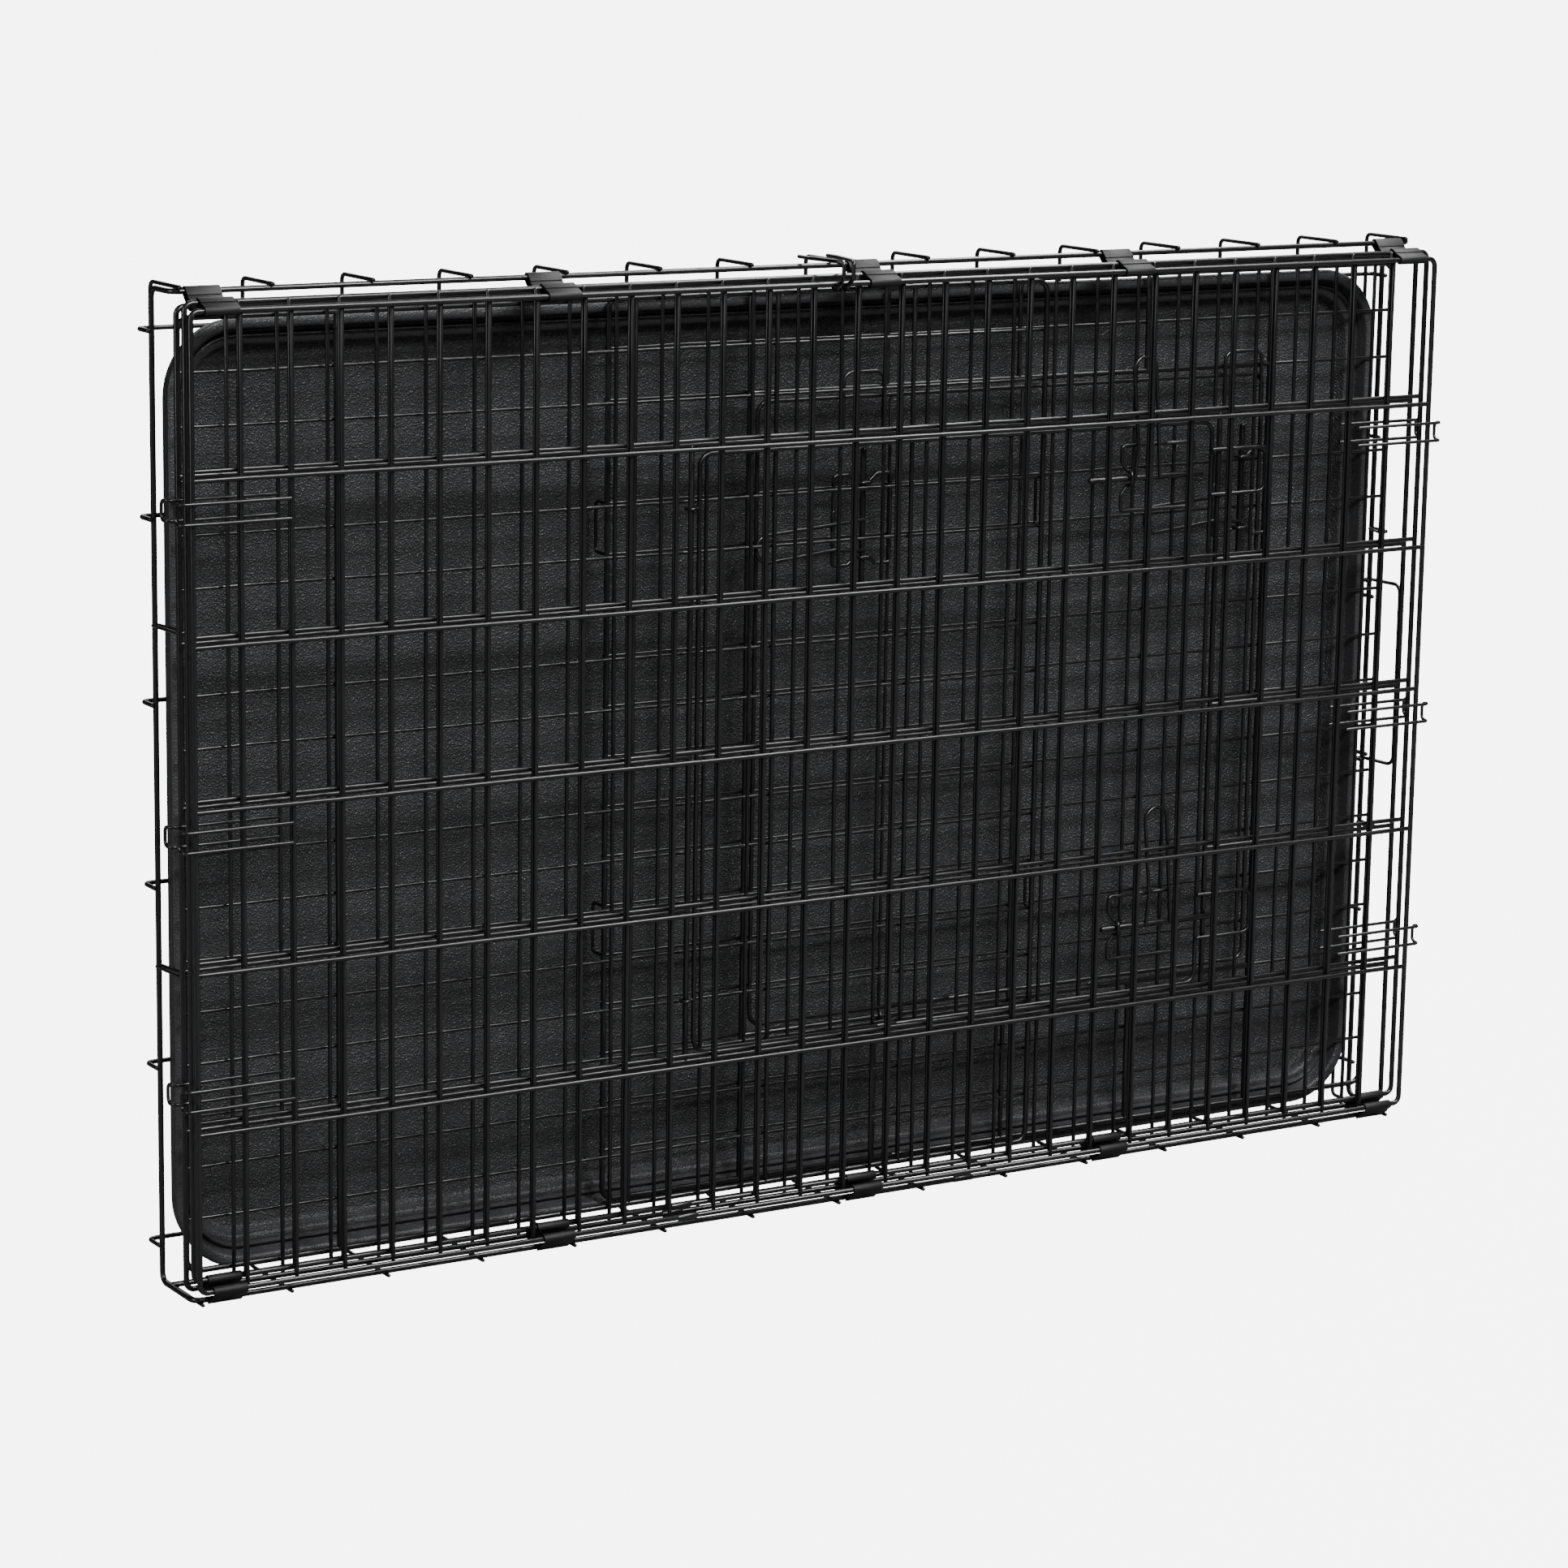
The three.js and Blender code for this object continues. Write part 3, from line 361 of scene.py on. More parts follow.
def beadWire(x, depth, z, radius):  # the sleeve of a butt weld
    reach = seam["half"] + seam["overlap"]
    return [at(x + step, depth, z) for step in (-reach, 0, reach)], radius + seam["bead"]


def rimWires(left, right, low, high, depth, radius, corner):  # a closed rim and its butt weld
    middle = left + seam["along"] * (right - left)
    path = bend([
        at(middle + seam["half"], depth, low), at(right, depth, low), at(right, depth, high),
        at(left, depth, high), at(left, depth, low), at(middle - seam["half"], depth, low),
    ], corner)
    return [(path, radius), beadWire(middle, depth, low, radius)]


def midSpans(count):  # stations half way between evenly spaced welds
    return [(k + 0.5) / count for k in range(count)]


panel = {"columns": 28, "rows": 6, "corner": 5, "tail": 1, "innerSink": 0.27, "spans": 14}
columnPitch = 2 * halfLength / panel["columns"]
crossOffset = gauge["rim"] + gauge["wire"] - gauge["weld"]
curlTurn = -1.5 * math.pi  # how far a door's hinge wire wraps its rod


def columnX(index):
    return -halfLength + index * columnPitch


def panelWires(low, high, depth, side, door=None):
    pitch = (high - low) / panel["rows"]
    wires = rimWires(-halfLength, halfLength, low, high, depth, gauge["rim"], panel["corner"])
    between = midSpans(panel["rows"])
    for i in range(1, panel["columns"]):
        x, y = columnX(i), depth + side * crossOffset
        bottom, top = at(x, y, low - panel["tail"]), at(x, y, high + panel["tail"])
        if door and door["left"] < x < door["right"]:
            doorLow = at(x, y, low + door["lowRow"] * pitch + panel["tail"])
            doorHigh = at(x, y, low + door["highRow"] * pitch - panel["tail"])
            wires.append((slack(bottom, doorLow, [0.5]), gauge["wire"]))
            wires.append((slack(doorHigh, top, [0.5]), gauge["wire"]))
        else:
            wires.append((slack(bottom, top, between), gauge["wire"]))
    along = midSpans(panel["spans"])
    for j in range(1, panel["rows"]):
        z = low + j * pitch
        inner = depth - side * panel["innerSink"]
        start, end = at(-halfLength, inner, z), at(halfLength, inner, z)
        if door and j in (door["lowRow"], door["highRow"]):
            wires.append((slack(at(-halfLength, depth, z), at(halfLength, depth, z), along), gauge["rim"]))
        elif door and door["lowRow"] < j < door["highRow"]:
            wires.append((slack(start, at(door["left"], inner, z), along[::2]), gauge["cross"]))
            wires.append((slack(at(door["right"], inner, z), end, [0.5]), gauge["cross"]))
        else:
            wires.append((slack(start, end, along), gauge["cross"]))
    if door:
        for x in (door["left"], door["right"]):
            ends = [at(x, depth, low + row * pitch) for row in (door["lowRow"], door["highRow"])]
            wires.append((slack(*ends, [0.3, 0.7]), gauge["rim"]))
    return wires


sideDoor = {
    "left": -110, "right": 295, "lowRow": 1, "highRow": 5, "gap": 6, "corner": 8, "curlInset": 40, "clear": 4,
}

addWires("frontPanelWires", ["side_panel_front"],
         panelWires(heights["frontLow"], heights["frontHigh"], layers["front"], 1))
addWires("roofPanelWires", ["roof_panel"],
         panelWires(heights["roofLow"], heights["roofHigh"], layers["roof"], -1))
addWires("backPanelWires", ["side_panel_back"],
         panelWires(heights["backLow"], heights["backHigh"], layers["back"], 1, sideDoor))


def sideDoorWires():
    depth = layers["back"]
    pitch = (heights["backHigh"] - heights["backLow"]) / panel["rows"]
    openLow = heights["backLow"] + sideDoor["lowRow"] * pitch
    openHigh = heights["backLow"] + sideDoor["highRow"] * pitch
    left, right = sideDoor["left"] + sideDoor["gap"], sideDoor["right"] - sideDoor["gap"]
    low, high = openLow + sideDoor["gap"], openHigh - sideDoor["gap"]
    wires = rimWires(left, right, low, high, depth, gauge["cross"], sideDoor["corner"])
    y = depth + gauge["cross"] + gauge["wire"] - gauge["weld"]
    for i in range(1, panel["columns"]):
        x = columnX(i)
        if left + sideDoor["clear"] < x < right - sideDoor["clear"]:
            bottom, top = at(x, y, low - panel["tail"]), at(x, y, high + panel["tail"])
            wires.append((slack(bottom, top, midSpans(4)), gauge["wire"]))
    for j in range(sideDoor["lowRow"] + 1, sideDoor["highRow"]):
        z = heights["backLow"] + j * pitch
        inner = depth - panel["innerSink"]
        wires.append((slack(at(left, inner, z), at(right, inner, z), midSpans(5)), gauge["thin"]))
    for z in (openLow + sideDoor["curlInset"], openHigh - sideDoor["curlInset"]):
        reach = gauge["rim"] + gauge["play"] + gauge["thin"]
        curl = arc(at(sideDoor["left"], depth, z), reach, xAxis, yAxis, 0, curlTurn)
        wires.append(([at(left, depth, z)] + curl, gauge["thin"]))
    return wires


addWires("sideDoorWires", ["side_door"], sideDoorWires())
print("long panels made")


base = {
    "topWall": 40, "lowWall": 58, "endRod": 12, "crosses": 13, "longs": 6, "setBack": 1.5, "lastSpace": 63,
    "longMargin": 24.25, "crossTip": 3.5, "midRod": 36, "corner": 4, "ringCorner": 6, "rodOut": 0.8,
    "endCross": 4, "drop": 1, "linkPlaces": (0.32, 0.68), "linkInset": 3, "endInset": 14.25, "seamSpace": 1.5,
    "sway": 0.4, "longTip": 2, "longSink": 0.16, "longThinner": 0.03, "longSlack": 0.15,
}
baseEnd = halfLength + gauge["rim"] - base["setBack"] - gauge["wire"]
baseMiddle = (heights["baseLow"] + heights["baseHigh"]) / 2 - base["drop"]
topRodDepth = layers["floor"] - base["topWall"]
lowRodDepth = layers["floor"] - base["lowWall"]
endRodDepth = layers["floor"] - base["endRod"]
endRodX = baseEnd + base["rodOut"]
endHingeX = endRodX - base["linkInset"]
wallOffset = gauge["rim"] * flatShare + gauge["wire"] - gauge["weld"]
endLow = heights["baseLow"] + base["endInset"] - base["drop"]
endHigh = heights["baseHigh"] - base["endInset"] - base["drop"]


def baseLongZ(index):
    pitch = (heights["baseHigh"] - heights["baseLow"] - 2 * base["longMargin"]) / (base["longs"] - 1)
    return baseMiddle + (index - (base["longs"] - 1) / 2) * pitch


def baseWires():
    low, high, floor = heights["baseLow"], heights["baseHigh"], layers["floor"]
    pitch = 2 * (baseEnd - base["lastSpace"]) / (base["crosses"] - 1)
    seamX = base["seamSpace"] * pitch
    ring = bend([
        at(seamX + seam["half"], lowRodDepth, low), at(endRodX, lowRodDepth, low),
        at(endRodX, endRodDepth, low), at(endRodX, endRodDepth, high), at(endRodX, topRodDepth, high),
        at(-endRodX, topRodDepth, high), at(-endRodX, endRodDepth, high), at(-endRodX, endRodDepth, low),
        at(-endRodX, lowRodDepth, low), at(seamX - seam["half"], lowRodDepth, low),
    ], base["ringCorner"])
    wires = [(ring, gauge["rim"]), beadWire(seamX, lowRodDepth, low, gauge["rim"])]
    crosses = [(k - (base["crosses"] - 1) / 2) * pitch for k in range(base["crosses"])]
    crosses += [-baseEnd + base["endCross"], baseEnd - base["endCross"]]
    fifths, tenths = [0.2, 0.4, 0.6, 0.8], [k / 10 for k in range(1, 10)]
    for x in crosses:
        sway = wander.uniform(-base["sway"], base["sway"])
        path = bend([
            at(x, topRodDepth - base["crossTip"], high + wallOffset), at(x, floor, high + wallOffset),
            at(x, floor, low - wallOffset), at(x, lowRodDepth - base["crossTip"], low - wallOffset),
        ], base["corner"])
        middle = len(path) // 2
        path[middle:middle] = slack(path[middle - 1], path[middle], fifths)[1:-1]
        for point in path[middle:middle + len(fifths)]:
            point.x += sway
        wires.append((path, gauge["wire"]))
    tip = endRodX + (gauge["rim"] + gauge["cross"]) * flatShare - gauge["weld"]
    back, front = floor + gauge["wire"] + gauge["cross"] - base["longSink"], endRodDepth - base["longTip"]
    for j in range(base["longs"]):
        z = baseLongZ(j)
        corners = [at(-tip, front, z), at(-tip, back, z), at(tip, back, z), at(tip, front, z)]
        path = bend(corners, base["corner"])
        middle = len(path) // 2
        path[middle:middle] = slack(path[middle - 1], path[middle], tenths, base["longSlack"])[1:-1]
        wires.append((path, gauge["cross"] - base["longThinner"]))
    midDepth = lowRodDepth + base["midRod"]
    start, end = at(-baseEnd, midDepth, low), at(baseEnd, midDepth, low)
    wires.append((slack(start, end, [0.25, 0.5, 0.75]), gauge["rim"]))
    for side, depth in ((-1, layers["endLeft"]), (1, layers["endRight"])):
        for share in base["linkPlaces"]:
            z = endLow + (endHigh - endLow) * share
            rod, hinge = at(side * endRodX, endRodDepth, z), at(side * endHingeX, depth, z)
            away = (hinge - rod).normalized()
            across = away.cross(zAxis)
            curl = arc(hinge, gauge["rim"] + gauge["play"] + gauge["thin"], across, away, 0, math.pi)
            link = [rod + across * gauge["rim"]] + curl + [rod - across * gauge["rim"]]
            wires.append((link, gauge["thin"]))
    return wires


baseNodes = ["base_floor", "base_wall_upper", "base_wall_lower", "base_end_left", "base_end_right"]
addWires("basePan", baseNodes, baseWires())
print("base made")


tray = {
    "corner": 46, "cornerSteps": 12, "wall": 2.2, "edgeBevel": 0.5, "edgeSteps": 2,
    # each turn of the skirt goes down and then inward
    "skirt": [(2.6, 0.6), (9.4, 1.2)],
    # each step goes in from the rim's edge and down from its face
    "steps": [
        (0.0, 1.1), (0.5, 0.35), (1.4, 0.0), (5.4, 0.0), (6.6, 0.5), (7.3, 1.4), (8.1, 8.0), (9.0, 9.0),
        (10.1, 9.0), (10.6, 8.2), (11.0, 6.9), (12.0, 6.6), (12.6, 7.6), (13.2, 9.0), (16.2, 9.0),
        (17.3, 9.7), (18.1, 11.0), (19.3, 16.2), (20.6, 17.7), (22.6, 18.1),
    ],
}


def makeTray():
    low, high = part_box("tray")
    low, high = low / mm, high / mm
    bm = bmesh.new()
    bmesh.ops.create_grid(bm, x_segments=1, y_segments=1, size=0.5)
    bmesh.ops.scale(bm, vec=(high.x - low.x, high.z - low.z, 1), verts=bm.verts)
    bmesh.ops.rotate(bm, matrix=Matrix.Rotation(math.pi / 2, 3, "X"), verts=bm.verts)
    bmesh.ops.translate(bm, vec=((low.x + high.x) / 2, low.y, (low.z + high.z) / 2), verts=bm.verts)
    bmesh.ops.bevel(bm, geom=bm.verts[:], offset=tray["corner"], offset_type="OFFSET", affect="VERTICES",
                    segments=tray["cornerSteps"], profile=0.5, material=-1)
    face = bm.faces[:][0]
    if face.normal.y > 0:
        bmesh.ops.reverse_faces(bm, faces=[face])
    bm.normal_update()
    face = bm.faces[:][0]
    bmesh.ops.translate(bm, vec=(0, tray["steps"][0][1], 0), verts=face.verts[:])
    for before, after in zip(tray["steps"], tray["steps"][1:]):
        inward, down = after[0] - before[0], after[1] - before[1]
        bmesh.ops.inset_region(bm, faces=[face], thickness=inward, depth=0, use_even_offset=True,
                                 use_boundary=True)
        bmesh.ops.translate(bm, vec=(0, down, 0), verts=face.verts[:])
    for down, inward in tray["skirt"]:  # the rim turned down behind its lip
        edges = [e for e in bm.edges if e.is_boundary]
        turned = bmesh.ops.extrude_edge_only(bm, edges=edges)["geom"]
        verts = [v for v in turned if isinstance(v, bmesh.types.BMVert)]
        middle = Vector(((low.x + high.x) / 2, 0, (low.z + high.z) / 2))
        shrink = (1 - 2 * inward / (high.x - low.x), 1, 1 - 2 * inward / (high.z - low.z))
        bmesh.ops.scale(bm, vec=shrink, verts=verts, space=Matrix.Translation(-middle))
        bmesh.ops.translate(bm, vec=(0, down, 0), verts=verts)
    bmesh.ops.recalc_face_normals(bm, faces=bm.faces)
    bm.normal_update()
    if max(bm.faces, key=lambda f: f.calc_area()).normal.y > 0:
        bmesh.ops.reverse_faces(bm, faces=bm.faces)
    bmesh.ops.scale(bm, vec=(mm, mm, mm), verts=bm.verts)
    piece = meshObject("petTray", bm)
    wall = piece.modifiers.new("wall", "SOLIDIFY")
    wall.thickness, wall.offset, wall.use_even_offset = tray["wall"] * mm, -1, True
    edge = piece.modifiers.new("edge", "BEVEL")
    edge.width, edge.segments, edge.limit_method = tray["edgeBevel"] * mm, tray["edgeSteps"], "ANGLE"
    edge.angle_limit = edgeAngle
    return finishPiece(piece, ["tray"], trayPlastic)


makeTray()
print("tray made")


endPanel = {
    "columns": 18, "rows": 6, "height": 610, "corner": 8, "topLoops": (5, 13), "loopCorner": 3,
    "leftReach": 5, "rightReach": 12, "thinSlack": 0.5, "rodStations": (0.1, 0.26, 0.42, 0.58, 0.74, 0.9),
}
endDoor = {
    "hinge": 3, "latch": 16, "lowRow": 1, "highRow": 5, "gap": 6, "curlStep": 3.2, "slack": 0.4,
    "barStations": (0.1, 0.37, 0.63, 0.9), "rodStations": (0.2, 0.5, 0.8),
}
endPitch = (endHigh - endLow) / endPanel["columns"]
endRowPitch = endPanel["height"] / endPanel["rows"]


def endColumnZ(index):
    return endLow + index * endPitch


def endPanelWires(side, depth, loopReach, door=None):
    rowX = [side * (endHingeX - row * endRowPitch) for row in range(endPanel["rows"] + 1)]
    left, right = min(rowX), max(rowX)
    wires = rimWires(left, right, endLow, endHigh, depth, gauge["rim"], endPanel["corner"])
    thin = depth + gauge["rim"] + gauge["thin"] - gauge["weld"]
    edges = sorted((rowX[door["lowRow"]], rowX[door["highRow"]])) if door else None
    for i in range(1, endPanel["columns"]):
        z = endColumnZ(i)
        start, end = at(left - panel["tail"], thin, z), at(right + panel["tail"], thin, z)
        if door and door["hinge"] <= i <= door["latch"]:
            doorStart, doorEnd = at(edges[0] + panel["tail"], thin, z), at(edges[1] - panel["tail"], thin, z)
            wires.append((slack(start, doorStart, [0.5]), gauge["thin"]))
            wires.append((slack(doorEnd, end, [0.5]), gauge["thin"]))
        else:
            spans = midSpans(endPanel["rows"])
            wires.append((slack(start, end, spans, endPanel["thinSlack"]), gauge["thin"]))
    for j in range(1, endPanel["rows"]):
        edge = door and j in (door["lowRow"], door["highRow"])
        radius = gauge["rim"] if edge else gauge["cross"]
        y = depth if edge else depth - panel["innerSink"]
        ends = at(rowX[j], y, endLow), at(rowX[j], y, endHigh)
        if door and door["lowRow"] < j < door["highRow"]:
            wires.append(([ends[0], at(rowX[j], y, endColumnZ(door["hinge"]))], radius))
            wires.append(([at(rowX[j], y, endColumnZ(door["latch"])), ends[1]], radius))
        else:
            wires.append((slack(*ends, endPanel["rodStations"]), radius))
    if door:
        for column in (door["hinge"], door["latch"]):
            z = endColumnZ(column)
            wires.append((slack(at(edges[0], depth, z), at(edges[1], depth, z), [0.3, 0.7]), gauge["rim"]))
    for column in endPanel["topLoops"]:
        start, end = at(rowX[-1], thin, endColumnZ(column)), at(rowX[-1], thin, endColumnZ(column + 1))
        out = at(0, loopReach, 0)
        wires.append((bend([start, start + out, end + out, end], endPanel["loopCorner"]), gauge["thin"]))
    return wires


addWires("leftEndWires", ["end_panel_left"], endPanelWires(-1, layers["endLeft"], endPanel["leftReach"]))
addWires("rightEndWires", ["end_panel_right"],
         endPanelWires(1, layers["endRight"], endPanel["rightReach"], endDoor))


def endDoorWires():
    depth = layers["endRight"]
    left = endHingeX - endDoor["highRow"] * endRowPitch + endDoor["gap"]
    right = endHingeX - endDoor["lowRow"] * endRowPitch - endDoor["gap"]
    low, high = endColumnZ(endDoor["hinge"]) + endDoor["gap"], endColumnZ(endDoor["latch"]) - endDoor["gap"]
    wires = rimWires(left, right, low, high, depth, gauge["cross"], endPanel["corner"])
    y = depth + gauge["cross"] + gauge["thin"] - gauge["weld"]
    for i in range(endDoor["hinge"] + 1, endDoor["latch"]):
        z = endColumnZ(i)
        start, end = at(left - panel["tail"], y, z), at(right + panel["tail"], y, z)
        wires.append((slack(start, end, endDoor["barStations"], endDoor["slack"]), gauge["thin"]))
    for j in range(endDoor["lowRow"] + 1, endDoor["highRow"]):
        x = endHingeX - j * endRowPitch + endDoor["curlStep"]
        inner = depth - panel["innerSink"]
        wires.append((slack(at(x, inner, low), at(x, inner, high), endDoor["rodStations"]), gauge["thin"]))
        reach = gauge["rim"] + gauge["play"] + gauge["thin"]
        curl = arc(at(x, depth, endColumnZ(endDoor["hinge"])), reach, zAxis, yAxis, 0, curlTurn)
        wires.append(([at(x, depth, low)] + curl, gauge["thin"]))
    return wires


addWires("endDoorWires", ["end_door"], endDoorWires())
print("end panels made")


panStop = {
    "reach": 28, "lowClear": 3.2, "highClear": 11.8, "corner": 6, "lean": 0.06, "bars": (2, 3),
    "curlFrom": 1.75 * math.pi, "curlTo": 0.5 * math.pi,
}


def panStopWires():
    reach = gauge["rim"] + gauge["play"] + gauge["wire"]
    away = at(panStop["lean"], -1, 0).normalized()
    across = zAxis.cross(away)
    lowBar, highBar = panStop["bars"]
    arms, curls = [], []
    for z in (baseLongZ(lowBar) - panStop["lowClear"], baseLongZ(highBar) + panStop["highClear"]):
        rod = at(endRodX, endRodDepth, z)
        arms.append([rod + across * reach, rod + away * panStop["reach"] + across * reach])
        curl = arc(rod, reach, away, across, panStop["curlFrom"], panStop["curlTo"])
        curls.append((curl, gauge["wire"]))
    bar = bend([arms[0][0], arms[0][1], arms[1][1], arms[1][0]], panStop["corner"])
    return [(bar, gauge["wire"])] + curls


addWires("panStopWire", ["pan_stop"], panStopWires())


latch = {
    "bolt": 92, "travel": 20, "clear": 0.4, "sideLap": 8, "endLap": 34, "sideInset": 52, "endInset": 84.75,
    "sidePlaces": (("upper", 4.6, -1), ("lower", 1.53, 1)), "endPlaces": (("upper", 4.19), ("lower", 1.24)),
}
bracket = {
    "length": 58, "width": 43, "notch": 1.4, "notchSet": 5, "shoulder": 7, "flare": 1, "join": 5, "cuff": 7,
    "bead": 0.2, "corner": 2, "steps": 4,
}
handle = {
    "length": 80, "width": 20, "sink": 0.2, "foot": -1, "neck": 22, "neckIn": 2, "lean": 4, "taper": 6,
    "corner": 9, "steps": 7,
}
keeper = {"length": 44, "width": 30, "corner": 6}


def bracketWires():
    x, z = bracket["length"] / 2, bracket["width"] / 2
    notch = gauge["bolt"] + gauge["play"] + gauge["wire"]
    shoulder, flare = notch + bracket["shoulder"], notch + bracket["flare"]
    out, inset = -notch - bracket["notch"], x - bracket["notchSet"]
    right = [
        at(x, 0, z), at(x, 0, shoulder), at(inset, 0, flare), at(inset, out, notch),
        at(inset, out, -notch), at(inset, 0, -flare), at(x, 0, -shoulder), at(x, 0, -z),
    ]
    left = [at(-p.x, p.y, p.z) for p in reversed(right)]
    ends = [at(bracket["join"], 0, z)], [at(-bracket["join"], 0, z)]
    path = bend(ends[0] + right + left + ends[1], bracket["corner"], bracket["steps"])
    cuff = [at(step, 0, z) for step in (-bracket["cuff"], 0, bracket["cuff"])]
    return [(path, gauge["wire"]), (cuff, gauge["wire"] + bracket["bead"])]


def boltWires(shift):
    y, half, top = -gauge["bolt"] + handle["sink"], handle["width"] / 2, handle["length"]
    rod = [at(-latch["bolt"] / 2, 0, 0), at(0, 0, 0), at(latch["bolt"] / 2, 0, 0)]
    hairpin = bend([
        at(shift - half, y, handle["foot"]), at(shift - half + handle["neckIn"], y, handle["neck"]),
        at(shift - half - handle["lean"], y, top), at(shift + half - handle["taper"], y, top),
        at(shift + half, y, handle["foot"]),
    ], handle["corner"], handle["steps"])
    return [(rod, gauge["bolt"]), (hairpin, gauge["wire"])]


def keeperWires():
    half, length = keeper["width"] / 2, keeper["length"]
    path = [at(0, 0, half), at(length, 0, half), at(length, 0, -half), at(0, 0, -half)]
    return [(bend(path, keeper["corner"]), gauge["wire"])]


def placed(wires, spot, upright=False):  # upright latches are turned a quarter about Y
    turn = Matrix.Rotation(-math.pi / 2 if upright else 0, 3, "Y")
    return [([turn @ point + spot for point in points], radius) for points, radius in wires]


def latchDepths(layer):  # the bracket lies on the door's rods and the bolt runs inside it
    face = layer - gauge["rim"] - gauge["play"]
    return face - gauge["wire"], face - gauge["bolt"] - latch["clear"]


backPitch = (heights["backHigh"] - heights["backLow"]) / panel["rows"]
bracketDepth, boltDepth = latchDepths(layers["back"])
sideX, keeperX = sideDoor["right"] - latch["sideInset"], sideDoor["right"] - latch["sideLap"]
for name, row, pull in latch["sidePlaces"]:
    z = heights["backLow"] + row * backPitch
    node = "side_latch_" + name
    addWires("sideBracket." + name, [node + "_bracket"], placed(bracketWires(), at(sideX, bracketDepth, z)))
    boltX = sideX + pull * latch["travel"] / 2
    addWires("sideBolt." + name, [node + "_bolt"], placed(boltWires(0), at(boltX, boltDepth, z)))
    addWires("sideKeeper." + name, [node + "_keeper"], placed(keeperWires(), at(keeperX, bracketDepth, z)))

bracketDepth, boltDepth = latchDepths(layers["endRight"])
latchZ = endColumnZ(endDoor["latch"])
for name, row in latch["endPlaces"]:
    x = endHingeX - row * endRowPitch
    spot, boltSpot = (at(x, depth, latchZ - latch["endInset"]) for depth in (bracketDepth, boltDepth))
    keeperSpot = at(x, bracketDepth, latchZ - latch["endLap"])
    node = "end_latch_" + name
    addWires("endBracket." + name, [node + "_bracket"], placed(bracketWires(), spot, True))
    addWires("endBolt." + name, [node + "_bolt"], placed(boltWires(-latch["travel"] / 2), boltSpot, True))
    addWires("endKeeper." + name, [node + "_keeper"], placed(keeperWires(), keeperSpot, True))
print("latches made")


hook = {
    "rows": (1.2245, 2.8265, 4.806), "nose": 8.9, "drop": 7, "gap": 6, "tail": 3, "corner": 3.4, "steps": 4,
}


def edgeHookWires(side, panelDepth, z):
    y = panelDepth - gauge["rim"] - gauge["play"] - gauge["thin"]
    outer, inner = side * (halfLength + hook["nose"]), side * (halfLength - 2 * columnPitch + hook["tail"])
    low, high, back = z - hook["gap"], z + hook["gap"], y + hook["drop"]
    return [(bend([
        at(inner, y, low), at(outer, y, low), at(outer, back, low),
        at(outer, back, high), at(outer, y, high), at(inner, y, high),
    ], hook["corner"], hook["steps"]), gauge["thin"])]


for row, depth in (("front", layers["front"]), ("back", layers["back"])):
    for side, sideName in ((-1, "left"), (1, "right")):
        for index, share in enumerate(hook["rows"]):
            z = heights["frontLow"] + share * (heights["frontHigh"] - heights["frontLow"]) / panel["rows"]
            addWires(f"{row}Hook.{sideName}.{index + 1}", [f"{row}_hook_{sideName}_{index + 1}"],
                     edgeHookWires(side, depth, z))

closing = {
    "column": 13, "places": (("left", 13, -7), ("right", 20, 7)), "front": 9.35, "kneeOut": 1, "kneeLow": 3,
    "kneeHigh": 6, "shoulder": 1, "shoulderIn": 4, "leanShare": 1 / 3, "lead": 8, "lap": 6, "drop": 0.25,
    "corner": 1.6, "steps": 4,
}


def closingHookWires(x, lean):
    reach = gauge["rim"] + gauge["play"] + gauge["wire"]
    rim = heights["frontHigh"]
    eye = arc(at(x, layers["front"], rim), reach, yAxis, zAxis, 0, -math.pi)
    over = heights["baseHigh"] + wallOffset + 2 * gauge["wire"] + 3 * gauge["play"] - closing["drop"]
    front = layers["front"] - closing["front"]
    arm = bend([
        eye[-1], at(x, front + closing["kneeOut"], rim + closing["kneeLow"]),
        at(x, front, rim + closing["kneeHigh"]), at(x, front, over - closing["shoulder"]),
        at(x + lean * closing["leanShare"], front + closing["shoulderIn"], over),
        at(x + lean, topRodDepth - closing["lead"], over), at(x + lean, topRodDepth + closing["lap"], over),
    ], closing["corner"], closing["steps"])
    return [(eye[:-1] + arm, gauge["wire"])]


for name, past, lean in closing["places"]:
    addWires("closingHook." + name, ["closing_hook_" + name],
             closingHookWires(columnX(closing["column"]) + past, lean))
print("hooks made")


clip = {
    "columns": (0.6, 7.5, 14.5, 20.5, 27.4), "length": 22, "sheet": 0.9, "facets": 28, "slit": 1.0,
    "edgeBevel": 0.2, "edgeSteps": 2, "halfCut": 0.01, "backCut": -0.4,
}


